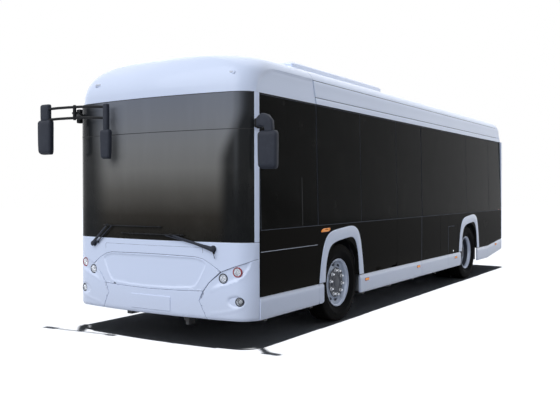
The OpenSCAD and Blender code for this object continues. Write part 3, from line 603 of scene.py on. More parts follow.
@dataclass
class Mould:
    """Corners and faces that are gathered before they become one piece."""

    verts: list[Vector] = field(default_factory=list)
    faces: list[list[int]] = field(default_factory=list)

    def rings(self, rings: Sequence[Sequence[Vector]], closed: bool = True,
              caps: bool = True) -> "Mould":
        """Joins rings of equal length.

        Args:
            rings: rows of points.
            closed: whether each row closes on itself.
            caps: whether the first and last rows are filled.

        Returns:
            The mould itself.
        """
        start, count = len(self.verts), len(rings[0])
        for ring in rings:
            self.verts.extend(Vector(p) for p in ring)
        span = count if closed else count - 1
        for k in range(len(rings) - 1):
            for i in range(span):
                j = (i + 1) % count
                a, b = start + k * count, start + (k + 1) * count
                self.faces.append([a + i, a + j, b + j, b + i])
        if caps and closed:
            self.faces.append([start + i for i in range(count)])
            last = start + (len(rings) - 1) * count
            self.faces.append([last + i for i in reversed(range(count))])
        return self

    def turned(self, profile: Sequence[Point], centre: Vector, axis: Vector, steps: int = 48,
               caps: bool = False) -> "Mould":
        """Turns a profile about an axis.

        Args:
            profile: (radius, distance along the axis) points.
            centre: point on the axis at distance 0.
            axis: unit direction.
            steps: points round the axis.
            caps: whether the ends are filled.

        Returns:
            The mould itself.
        """
        side = axis.orthogonal().normalized()
        other = axis.cross(side)
        angles = [2 * math.pi * i / steps for i in range(steps)]
        return self.rings([[centre + axis * a + (side * math.cos(t) + other * math.sin(t)) * r
                            for t in angles] for r, a in profile], caps=caps)

    def tube(self, path: Sequence[Vector], radius: float | Sequence[float], steps: int = 12,
             flat: float = 1.0, up: Vector | None = None) -> "Mould":
        """Sweeps a round or flattened section along a path.

        Args:
            path: points of the middle line.
            radius: radius, or one for each point.
            steps: points round the section.
            flat: height of the section over its width.
            up: direction of the section's height.

        Returns:
            The mould itself.
        """
        rings = []
        for i, point in enumerate(path):
            along = (path[min(i + 1, len(path) - 1)] - path[max(i - 1, 0)]).normalized()
            high = (up or (Vector((0, 0, 1)) if abs(along.z) < 0.9 else Vector((0, 1, 0)))).copy()
            high = (high - along * high.dot(along)).normalized()
            wide = along.cross(high)
            r = radius if isinstance(radius, (int, float)) else radius[i]
            rings.append([point + wide * (r * math.cos(a)) + high * (r * flat * math.sin(a))
                          for a in (2 * math.pi * k / steps for k in range(steps))])
        return self.rings(rings)

    def block(self, low: Sequence[float], high: Sequence[float], round_off: float = 0.004,
              taper: float = 1.0) -> "Mould":
        """Adds a block with rounded edges, narrower towards its top if tapered.

        Args:
            low: lowest corner.
            high: highest corner.
            round_off: edge radius.
            taper: width of the top over the bottom.

        Returns:
            The mould itself.
        """
        size = [h - l for l, h in zip(low, high)]
        r = min(round_off, *[0.49 * s for s in size])
        mid = [(l + h) / 2 for l, h in zip(low, high)]
        rows = []
        bends = [0.0, 0.3, 1.0]
        levels = [(low[2] + r * b, 1 - b) for b in bends] + [(high[2] - r * b, 1 - b)
                                                             for b in reversed(bends)]
        for z, pull in levels:
            inset = r * (1 - math.sqrt(max(0.0, 1 - pull * pull)))
            share = (z - low[2]) / size[2]
            scale = 1 + (taper - 1) * share
            ring = rounded_box(size[0] * scale - 2 * inset, size[1] * scale - 2 * inset,
                               max(r - inset, r * 0.3), 4)
            rows.append([Vector((mid[0] + p[0], mid[1] + p[1], z)) for p in ring])
        return self.rings(rows)

    def show(self, name: str, look: Finish, body: Body | str = Body.MAIN,
             sharp: float = 35.0) -> bpy.types.Object:
        """Makes the piece."""
        return show(name, self.verts, self.faces, look, body, sharp)


def rounded_box(width: float, height: float, radius: float, steps: int = 5) -> list[Point]:
    """Outline of a centred rectangle with rounded corners, counter-clockwise."""
    radius = min(radius, 0.499 * width, 0.499 * height)
    corners = [(width / 2 - radius, height / 2 - radius, 0), (radius - width / 2, height / 2 - radius, 1),
               (radius - width / 2, radius - height / 2, 2), (width / 2 - radius, radius - height / 2, 3)]
    return [(x + radius * math.cos((q + k / steps) * math.pi / 2),
             y + radius * math.sin((q + k / steps) * math.pi / 2))
            for x, y, q in corners for k in range(steps + 1)]


def box_outline(u0: float, u1: float, v0: float, v1: float, radius: float = 0.012) -> list[Point]:
    """Outline of a rectangle between two corners."""
    return [(x + (u0 + u1) / 2, y + (v0 + v1) / 2)
            for x, y in rounded_box(u1 - u0, v1 - v0, radius, 3)]


def circle(u: float, v: float, radius: float, steps: int = 32) -> list[Point]:
    """Outline of a circle."""
    return [(u + radius * math.cos(2 * math.pi * i / steps),
             v + radius * math.sin(2 * math.pi * i / steps)) for i in range(steps)]


def area(loop: Sequence[Point]) -> float:
    """Signed area of a loop."""
    return sum(a[0] * b[1] - b[0] * a[1] for a, b in zip(loop, [*loop[1:], loop[0]])) / 2


def soften(loop: Sequence[Point], radius: float, steps: int = 4) -> list[Point]:
    """Rounds the corners of a loop.

    Args:
        loop: corners.
        radius: length cut from each side of a corner, at most.
        steps: points on each round.

    Returns:
        The rounded loop.
    """
    result: list[Point] = []
    for before, here, after in zip([loop[-1], *loop[:-1]], loop, [*loop[1:], loop[0]]):
        a, b = Vector(before) - Vector(here), Vector(after) - Vector(here)
        cut = min(radius, 0.45 * a.length, 0.45 * b.length)
        start, end = Vector(here) + a.normalized() * cut, Vector(here) + b.normalized() * cut
        for k in range(steps + 1):
            t = k / steps
            p = start.lerp(Vector(here), t).lerp(Vector(here).lerp(end, t), t)
            result.append((p.x, p.y))
    return result


def divide(loop: Sequence[Point], longest: float) -> list[Point]:
    """Splits long sides of a loop and drops doubled points."""
    result: list[Point] = []
    for here, after in zip(loop, [*loop[1:], loop[0]]):
        length = math.dist(here, after)
        if length < 1e-5:
            continue
        parts = max(1, math.ceil(length / longest))
        result.extend((here[0] + (after[0] - here[0]) * k / parts,
                       here[1] + (after[1] - here[1]) * k / parts) for k in range(parts))
    return result


def inset(loop: Sequence[Point], distance: float) -> list[Point]:
    """Moves each point of a loop to its left by a distance, mitred at corners."""
    result = []
    for before, here, after in zip([loop[-1], *loop[:-1]], loop, [*loop[1:], loop[0]]):
        a = (Vector(here) - Vector(before)).normalized()
        b = (Vector(after) - Vector(here)).normalized()
        left = Vector((-a.y - b.y, a.x + b.x))
        if left.length < 1e-6:
            left = Vector((-a.y, a.x))
        left.normalize()
        spread = max(0.5, left.dot(Vector((-a.y, a.x))))
        result.append((here[0] + left.x * distance / spread, here[1] + left.y * distance / spread))
    return result


def inside(point: Point, loop: Sequence[Point]) -> bool:
    """Whether a point lies inside a loop."""
    x, y = point
    odd = False
    for (x0, y0), (x1, y1) in zip(loop, [*loop[1:], loop[0]]):
        if (y0 > y) != (y1 > y) and x < (x1 - x0) * (y - y0) / (y1 - y0) + x0:
            odd = not odd
    return odd


def reach(point: Point, line: Sequence[Point], closed: bool = False) -> float:
    """Distance from a point to a line of points."""
    best, here = 1e9, Vector(point)
    ends = [*line[1:], line[0]] if closed else line[1:]
    for a, b in zip(line, ends):
        a, b = Vector(a), Vector(b)
        t = max(0.0, min(1.0, (here - a).dot(b - a) / max(1e-12, (b - a).length_squared)))
        best = min(best, (here - a.lerp(b, t)).length)
    return best


def ease(value: float, start: float, end: float) -> float:
    """Smooth step from 0 at start to 1 at end."""
    t = max(0.0, min(1.0, (value - start) / (end - start)))
    return t * t * (3 - 2 * t)


def mirrored(points: Sequence[Point]) -> list[Point]:
    """Closes a half outline, drawn from the middle out and back, with its mirror image."""
    return [*points, *[(-x, z) for x, z in reversed(points) if x > 1e-6]]


# ------------------------------------------------------------------ skins
class Skin:
    """A developable outer face of the body, (u, v) to a point and its outward normal."""

    def at(self, u: float, v: float) -> tuple[Vector, Vector]:
        """Point and outward normal."""
        raise NotImplementedError


@dataclass(frozen=True)
class EndSkin(Skin):
    """Front or rear face with its rounded corners; u is the length round from the middle."""

    end: End = End.FRONT

    def _sizes(self) -> tuple[float, float, float, float, float]:
        """Bow, corner radius, corner centre, bow angle and bow length."""
        front = self.end is End.FRONT
        bow = SHELL.front_bow if front else SHELL.rear_bow
        corner = SHELL.front_corner if front else SHELL.rear_corner
        centre = SHELL.half - corner
        angle = math.asin(centre / (bow - corner))
        return bow, corner, centre, angle, bow * angle

    def at(self, u: float, v: float) -> tuple[Vector, Vector]:
        """Point and outward normal."""
        bow, corner, centre, angle, length = self._sizes()
        sign, u = (1.0 if u >= 0 else -1.0), abs(u)
        turn = u / bow if u <= length else angle + (u - length) / corner
        turn = min(turn, math.pi / 2)
        if u <= length:
            x, back = bow * math.sin(turn), bow * (1 - math.cos(turn))
        else:
            deep = bow - (bow - corner) * math.cos(angle)
            x, back = centre + corner * math.sin(turn), deep - corner * math.cos(turn)
            back += max(0.0, u - length - (math.pi / 2 - angle) * corner)
        front = self.end is End.FRONT
        station = SHELL.front + back if front else SHELL.rear - back
        normal = Vector((sign * math.sin(turn), -math.cos(turn) if front else math.cos(turn), 0))
        return Vector((sign * x, SHELL.y(station), v)), normal

    def u(self, x: float) -> float:
        """Length round the face at a distance x from the middle."""
        bow, corner, centre, angle, length = self._sizes()
        sign, x = (1.0 if x >= 0 else -1.0), abs(x)
        if x <= bow * math.sin(angle):
            return sign * bow * math.asin(x / bow)
        turn = math.asin(min(1.0, (x - centre) / corner))
        return sign * (length + (turn - angle) * corner)

    def u_back(self, back: float) -> float:
        """Length round the corner where the face has run a distance back from its foremost line."""
        bow, corner, centre, angle, length = self._sizes()
        deep = bow - (bow - corner) * math.cos(angle)
        return length + (math.acos((deep - back) / corner) - angle) * corner


@dataclass(frozen=True)
class SideSkin(Skin):
    """Side face; u is the station, v the height."""

    side: Side = Side.LEFT

    def at(self, u: float, v: float) -> tuple[Vector, Vector]:
        """Point and outward normal."""
        slope = SHELL.lean / (SHELL.glass_top - SHELL.belt)
        x = SHELL.half - slope * max(0.0, v - SHELL.belt)
        sign = self.side.value
        normal = Vector((sign, 0, slope if v > SHELL.belt else 0)).normalized()
        return Vector((sign * x, SHELL.y(u), v)), normal


@dataclass(frozen=True)
class FlatSkin(Skin):
    """Plane through an origin along two unit directions."""

    origin: Vector
    along: Vector
    rise: Vector

    def at(self, u: float, v: float) -> tuple[Vector, Vector]:
        """Point and outward normal."""
        return self.origin + self.along * u + self.rise * v, self.along.cross(self.rise)


FRONT = EndSkin(End.FRONT)
REAR = EndSkin(End.REAR)
LEFT = SideSkin(Side.LEFT)
RIGHT = SideSkin(Side.RIGHT)


@dataclass
class Panel:
    """A sheet on a skin with rounded-over edges, holes and relief."""

    skin: Skin
    outline: Sequence[Point]
    holes: Sequence[Sequence[Point]] = ()
    edge: float = 0.003
    thick: float = 0.012
    grid: float = 0.05
    lift: float = 0.0
    relief: Relief | None = None
    guides: Sequence[Sequence[Point]] = ()

    def _height(self, u: float, v: float) -> float:
        """Height over the skin at a place inside the edges."""
        return self.lift + (self.relief(u, v) if self.relief else 0.0)

    def mould(self) -> Mould:
        """Builds the closed sheet.

        Returns:
            Its corners and faces.
        """
        mould = Mould()
        loops = []
        for i, loop in enumerate([self.outline, *self.holes]):
            loop = divide(loop, self.grid)
            loops.append(loop if (area(loop) > 0) == (i == 0) else loop[::-1])
        bends = [(0.0, 1.0), (0.12, 0.52), (0.45, 0.16), (1.0, 0.0), (1.7, 0.0)]
        inner = []
        for loop in loops:
            rows = [[(p, -self.thick) for p in loop]]
            for share, drop in bends:
                moved = inset(loop, self.edge * share)
                rows.append([(p, -self.edge * drop) for p in moved])
            points = []
            for k, row in enumerate(rows):
                ring = []
                for p, depth in row:
                    point, normal = self.skin.at(*p)
                    height = self._height(*p) + depth if k else self.lift + depth
                    ring.append(point + normal * height)
                points.append(ring)
            mould.rings(points, caps=False)
            inner.append([p for p, _ in rows[-1]])
        self._fill(mould, inner, False)
        self._fill(mould, loops, True)
        return mould

    def _fill(self, mould: Mould, loops: list[list[Point]], back: bool) -> None:
        """Fills the front or back of the sheet.

        Args:
            mould: mould that takes the faces.
            loops: outline and holes.
            back: whether this is the inner face.
        """
        guides = [] if back else [divide(line, self.grid) for line in self.guides]
        points = [Vector(p) for loop in [*loops, *guides] for p in loop]
        edges, start = [], 0
        for loop in [*loops, *guides]:
            edges += [(start + i, start + (i + 1) % len(loop)) for i in range(len(loop))]
            start += len(loop)
        us, vs = [p[0] for p in loops[0]], [p[1] for p in loops[0]]
        cell = self.grid * (1.6 if back else 1.0)
        nu, nv = int((max(us) - min(us)) / cell) + 1, int((max(vs) - min(vs)) / cell) + 1
        for i in range(nu + 1):
            for j in range(nv + 1):
                p = (min(us) + (i + 0.5) * (max(us) - min(us)) / (nu + 1),
                     min(vs) + (j + 0.5) * (max(vs) - min(vs)) / (nv + 1))
                if not inside(p, loops[0]) or any(inside(p, h) for h in loops[1:]):
                    continue
                if min(reach(p, loop, True) for loop in [*loops, *guides]) > 0.35 * cell:
                    points.append(Vector(p))
        verts, _, faces, *_ = geometry.delaunay_2d_cdt(points, edges, [], 0, 1e-7)
        base = len(mould.verts)
        for p in verts:
            point, normal = self.skin.at(p.x, p.y)
            mould.verts.append(point + normal * (
                self.lift - self.thick if back else self._height(p.x, p.y)))
        for face in faces:
            middle = sum((verts[i] for i in face), Vector((0, 0))) / len(face)
            spot = (middle.x, middle.y)
            if inside(spot, loops[0]) and not any(inside(spot, h) for h in loops[1:]):
                order = face if not back else list(reversed(face))
                mould.faces.append([base + i for i in order])

    def show(self, name: str, look: Finish, body: Body | str = Body.MAIN) -> bpy.types.Object:
        """Makes the piece."""
        return self.mould().show(name, look, body)


# ------------------------------------------------------------------ front
@dataclass
class FrontFace:
    """White mask, hatch, bumper, corner panels and their lamps."""

    gap: float = 0.002
    sill: float = 1.094
    lamps: tuple[tuple[float, float, float, float], ...] = (
        (0.938, 0.722, 0.052, -0.188), (1.100, 0.792, 0.052, -0.150), (1.122, 0.488, 0.046, -0.136))
    hatch_top: tuple[Point, ...] = (
        (0.0, 0.943), (0.20, 0.943), (0.60, 0.935), (0.70, 0.915), (0.80, 0.865), (0.905, 0.797))
    crease: tuple[Point, ...] = (
        (0.800, 0.590), (0.876, 0.632), (1.000, 0.668), (1.100, 0.705), (1.160, 0.750),
        (1.205, 0.830), (1.235, 0.930), (1.2475, 1.060))

    def bent(self, points: Iterable[Point]) -> list[Point]:
        """Turns (x, z) into (length round the face, z)."""
        return [(FRONT.u(x), z) for x, z in points]

    def seam_side(self) -> float:
        """Length round the face at the corner seam."""
        return FRONT.u_back(-SHELL.front)

    def build(self) -> None:
        """Builds all the pieces of the face."""
        self.mask()
        self.hatch()
        self.bumper()
        self.corners()
        for side in Side:
            for i, lamp in enumerate(self.lamps):
                self.lamp(side, i, *lamp)
        self.seam_shade_sheet()

    def seam_shade_sheet(self) -> None:
        """Black sheet behind the seams as painted shade, so the gaps read dark; open behind the hatch and the lamps.
        """
        holes = [box_outline(-0.50, 0.50, 0.645, 1.060, 0.03)]
        holes += [circle(side.value * FRONT.u(x), z, r + 0.004, 28) for side in Side
                  for x, z, r, _ in self.lamps[:2]]
        far = FRONT.u(1.165)
        # painted shade: black sheet 33 mm behind the face, seen through the seam gaps
        Panel(FRONT, box_outline(-far, far, 0.315, 1.088, 0.05), holes[:-4] + [
            h for h in holes[-4:] if max(abs(p[0]) for p in h) < far - 0.01], edge=0.001, thick=0.003,
              grid=0.09, lift=-0.033).show("front_seam_painted_shade", Look.WALL)

    def crease_relief(self, u: float, z: float) -> float:
        """Height of the face beside the crease that sweeps up from the lamps."""
        line = self.bent(self.crease)
        u = abs(u)
        near = reach((u, z), line)
        if near > 0.1:
            return 0.0
        return 0.0045 * math.exp(-((near / 0.013) ** 2))

    def mask(self) -> None:
        """Cowl under the windshield, with a shallow panel, and the corner pillars."""
        far = self.seam_side()
        top = self.bent(self.hatch_top)
        line = [(u, z + self.gap) for u, z in top]
        wing = self.bent([(0.918, 0.791), (1.05, 0.842), (1.233, 0.911)]) + [(far, 0.926)]
        half = [(0.0, self.sill), (far, self.sill)]
        outline = mirrored([*half, *reversed(wing), *reversed(line)])

        def relief(u: float, z: float) -> float:
            """Crease at the corners."""
            return self.crease_relief(u, z)

        piece = Panel(FRONT, outline, grid=0.026, thick=0.008, relief=relief).show(
            "front_mask_cowl", Look.PAINT)
        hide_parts("front_mask")
        groove = Mould()
        line = soften(self.bent([(-0.70, 0.950), (-0.70, 1.035), (0.70, 1.035), (0.70, 0.950)]), 0.02)[4:-4]
        path = [self._on(u, z, 0.0) for a, b in zip(line, line[1:])
                for u, z in (tuple(Vector(a).lerp(Vector(b), k / 6)) for k in range(6))]
        groove.tube(path, 0.0014, 6)
        groove.show("front_cowl_seam", Look.SEAM_AND_PAINTED_SEAM_LIGHT)
        near, end = FRONT.u_back(-SHELL.front - 0.06), far
        for side in Side:
            pillar = box_outline(near + 0.003, end, self.sill + 0.003, SHELL.eave - 0.004, 0.006)
            Panel(FRONT, [(side.value * u, z) for u, z in pillar], grid=0.03, thick=0.02,
                  edge=0.004).show(f"corner_pillar_{side.name.lower()}", Look.PAINT)

    def _on(self, u: float, z: float, lift: float) -> Vector:
        """Point on the face raised by lift."""
        point, normal = FRONT.at(u, z)
        return point + normal * lift

    def hatch(self) -> None:
        """Front service hatch with its embossed shield and two hinge notches."""
        g = self.gap
        top = [(0.0, 0.943 - g), (0.20, 0.943 - g), (0.60, 0.935 - g), (0.70, 0.915 - g),
               (0.80, 0.865 - g), (0.900, 0.797 - g)]
        low = [(0.905, 0.787), (0.768, 0.668), (0.702, 0.582), (0.45, 0.572), (0.0, 0.564)]
        outline = mirrored(self.bent([*top, *low]))
        shield = mirrored(self.bent([(0.0, 0.930), (0.60, 0.925), (0.70, 0.902), (0.745, 0.865),
                                     (0.72, 0.80), (0.665, 0.70), (0.61, 0.622), (0.55, 0.604),
                                     (0.30, 0.588), (0.0, 0.584)]))

        def relief(u: float, z: float) -> float:
            """Raised rim round the sunk shield."""
            away = reach((u, z), shield, True)
            deep = -0.007 * ease(away, 0.0, 0.021) if inside((u, z), shield) else 0.0
            return deep + 0.001 * math.exp(-((away / 0.008) ** 2)) * ease(0.925 - z, 0.0, 0.03)

        line = shield if area(shield) > 0 else shield[::-1]
        piece = Panel(FRONT, outline, grid=0.022, thick=0.010, edge=0.003, relief=relief, guides=[
            inset(line, away) for away in (-0.005, 0.0, 0.007, 0.014, 0.021)]).show(
                "front_hatch_skin", Look.PAINT, Body.FRONT_HATCH)
        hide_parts("front_hatch")
        arms = Mould()
        pin = Vector((0, SHELL.y(-0.2), 1.085))
        for x in (-0.15, 0.15):
            rings = []
            for k in range(15):
                turn = math.radians(255 + 105 * k / 14)
                here = pin + Vector((x, math.cos(turn) * 0.1675, math.sin(turn) * 0.1675))
                out = Vector((0, math.cos(turn), math.sin(turn)))
                rings.append([here + out * a + Vector((b, 0, 0)) for a, b in rounded_box(
                    0.012, 0.014, 0.003, 2)])
            arms.rings(rings)
            arms.block((x - 0.007, pin.y, pin.z - 0.008), (x + 0.007, pin.y + 0.168, pin.z + 0.008))
            arms.turned([(0.0065, -0.009), (0.013, -0.009), (0.013, 0.009), (0.0065, 0.009)],
                        pin + Vector((x, 0, 0)), Vector((1, 0, 0)), 24)
            arms.block((x - 0.03, SHELL.y(-0.247), 0.905), (x + 0.03, SHELL.y(-0.239), 0.932))
        tabs = Mould()
        for x in (-0.254, 0.254):
            tabs.rings([[self._on(FRONT.u(x) + du, 0.931 + dz, d) for du, dz in
                         rounded_box(0.050 * k, 0.013 * k, 0.004, 3)] for d, k in
                        ((-0.002, 1.0), (0.0012, 1.0), (0.0022, 0.85))])
        tabs.show("front_hatch_tabs", Look.PAINT, Body.FRONT_HATCH)
        arms.show("front_hatch_arms", Look.CHASSIS, Body.FRONT_HATCH)
        lugs = Mould()
        for x in (-0.15, 0.15):
            for v in (-0.024, 0.012):
                lugs.block((x + v, SHELL.y(-0.232), 1.072), (x + v + 0.012, SHELL.y(-0.188), 1.092))
            lugs.turned([(0.006, -0.024), (0.006, 0.024)], pin + Vector((x, 0, 0)),
                        Vector((1, 0, 0)), 20, True)
        lugs.show("front_hatch_lugs", Look.CHASSIS)

    def bumper(self) -> None:
        """Middle of the bumper with the blank plate pad."""
        g = self.gap
        low = SHELL.skirt_low
        outline = mirrored(self.bent([(0.0, 0.5625 - g), (0.45, 0.5705 - g), (0.697, 0.5795 - g),
                                      (0.650, 0.478), (0.747, low), (0.0, low)]))

        def relief(u: float, z: float) -> float:
            """Rounded lower lip."""
            return -0.012 * (1 - ease(z, low, low + 0.035)) ** 2

        piece = Panel(FRONT, outline, grid=0.03, thick=0.03, edge=0.004, relief=relief).show(
            "front_bumper_middle", Look.PAINT)
        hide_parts("bumpers")
        pad = box_outline(-0.285, 0.285, 0.338, 0.494, 0.012)
        Panel(FRONT, pad, edge=0.004, thick=0.009, grid=0.06, lift=0.0065).show("front_plate_pad", Look.PAINT)

    def corners(self) -> None:
        """Corner panels with the lamp band, the creases and the fog lamp pocket."""
        far, g, low = self.seam_side(), self.gap, SHELL.skirt_low
        edge = self.bent([(0.918, 0.7875), (1.05, 0.8385), (1.233, 0.9075)]) + [(far, 0.9225)]
        foot = [(far, low), *self.bent([(1.20, low), (0.752, low), (0.655, 0.478), (0.708, 0.5765),
                                        (0.7745, 0.665)])]
        outline = [*edge, *foot]
        fin = self.bent([(0.800, 0.350), (0.95, 0.372), (1.08, 0.402), (1.160, 0.440), (1.185, 0.475)])
        band = self.bent(self.crease)

        def relief(u: float, z: float) -> float:
            """Lamp band sunk over the crease, fog pocket and lower fin."""
            u = abs(u)
            crease_z = next((b[1] + (a[1] - b[1]) * (u - b[0]) / (a[0] - b[0] + 1e-9)
                             for b, a in zip(band, band[1:]) if b[0] <= u <= a[0]), 2.0)
            over = z - crease_z
            sunk = -0.012 * ease(over, -0.004, 0.022) * ease(u, 0.80, 0.90)
            sunk *= 1 - ease(u, FRONT.u(1.19), FRONT.u(1.235))
            ridge = 0.0035 * math.exp(-((reach((u, z), band) / 0.014) ** 2))
            hollow = ((u - FRONT.u(1.085)) / 0.105) ** 2 + ((z - 0.488) / 0.060) ** 2
            pocket = -0.020 * ease(1.0 - hollow, 0.0, 0.7) * (1 - ease(u, FRONT.u(1.10), FRONT.u(1.18)))
            near = reach((u, z), fin)
            below = 0.0045 * math.exp(-((near / 0.012) ** 2))
            lip = -0.012 * (1 - ease(z, low, low + 0.035)) ** 2
            return sunk + ridge + pocket + below + lip

        for side in Side:
            s = side.value
            holes = [[(s * FRONT.u(x + r * 1.02 * math.cos(a)), z + r * 1.02 * math.sin(a))
                      for a in (2 * math.pi * k / 36 for k in range(36))]
                     for x, z, r, _ in self.lamps]
            Panel(FRONT, [(s * u, z) for u, z in outline], holes, grid=0.016, thick=0.012,
                  edge=0.003, relief=relief).show(f"front_corner_{side.name.lower()}", Look.PAINT)

    def lamp(self, side: Side, index: int, x: float, z: float, r: float, face: float) -> None:
        """One round lamp: bezel, reflector bowl, projector and domed cover.

        Args:
            side: side of the bus.
            index: place in the list.
            x: distance from the middle.
            z: height.
            r: radius of its hole.
            face: station of the lamp's front; not used.
        """
        tag = f"{side.name.lower()}_{index}"
        u = FRONT.u(x)
        point, normal = FRONT.at(side.value * u, z)
        axis = (normal + Vector((0, -1.2, 0))).normalized()
        at = point - normal * 0.012
        ring = Look.REDRING if index == 1 else Look.HUB
        ring_name = f"lamp_ring_{tag}"
        Mould().turned([(r * 1.0, -0.03), (r * 1.0, 0.002), (r * 0.97, 0.006), (r * 0.90, 0.007),
                        (r * 0.82, 0.003), (r * 0.80, -0.012), (r * 0.78, -0.03)], at, axis,
                       48).show(ring_name, ring)
        bowl = [(r * 0.80, 0.0)]
        bowl += [(r * (0.80 - 0.42 * k / 6), -0.004 - 0.026 * math.sin(math.pi / 2 * k / 6))
                 for k in range(1, 7)]
        piece = Mould().turned([*bowl, (r * 0.36, -0.031), (0.0005, -0.031)], at, axis, 48).show(
            f"lamp_bowl_{tag}", Look.CHROME)
        if index == 0 and side is Side.LEFT:
            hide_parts("headlamps")
        ball = [(r * 0.40 * math.cos(a), -0.024 + r * 0.36 * math.sin(a))
                for a in (math.pi / 2 * k / 6 for k in range(7))]
        Mould().turned([(r * 0.44, -0.03), (r * 0.44, -0.022), *ball[:-1], (0.0004, ball[-1][1])],
                       at, axis, 32).show(f"lamp_projector_{tag}", Look.WHITE_LENS)
        dome = [(r * 0.84 * math.cos(a), 0.001 + 0.010 * math.sin(a))
                for a in (math.pi / 2 * k / 6 for k in range(7))]
        Mould().turned([(r * 0.84, -0.002), *dome[:-1], (0.0004, dome[-1][1])], at, axis,
                       48).show(f"lamp_cover_{tag}", Look.CLEAR)


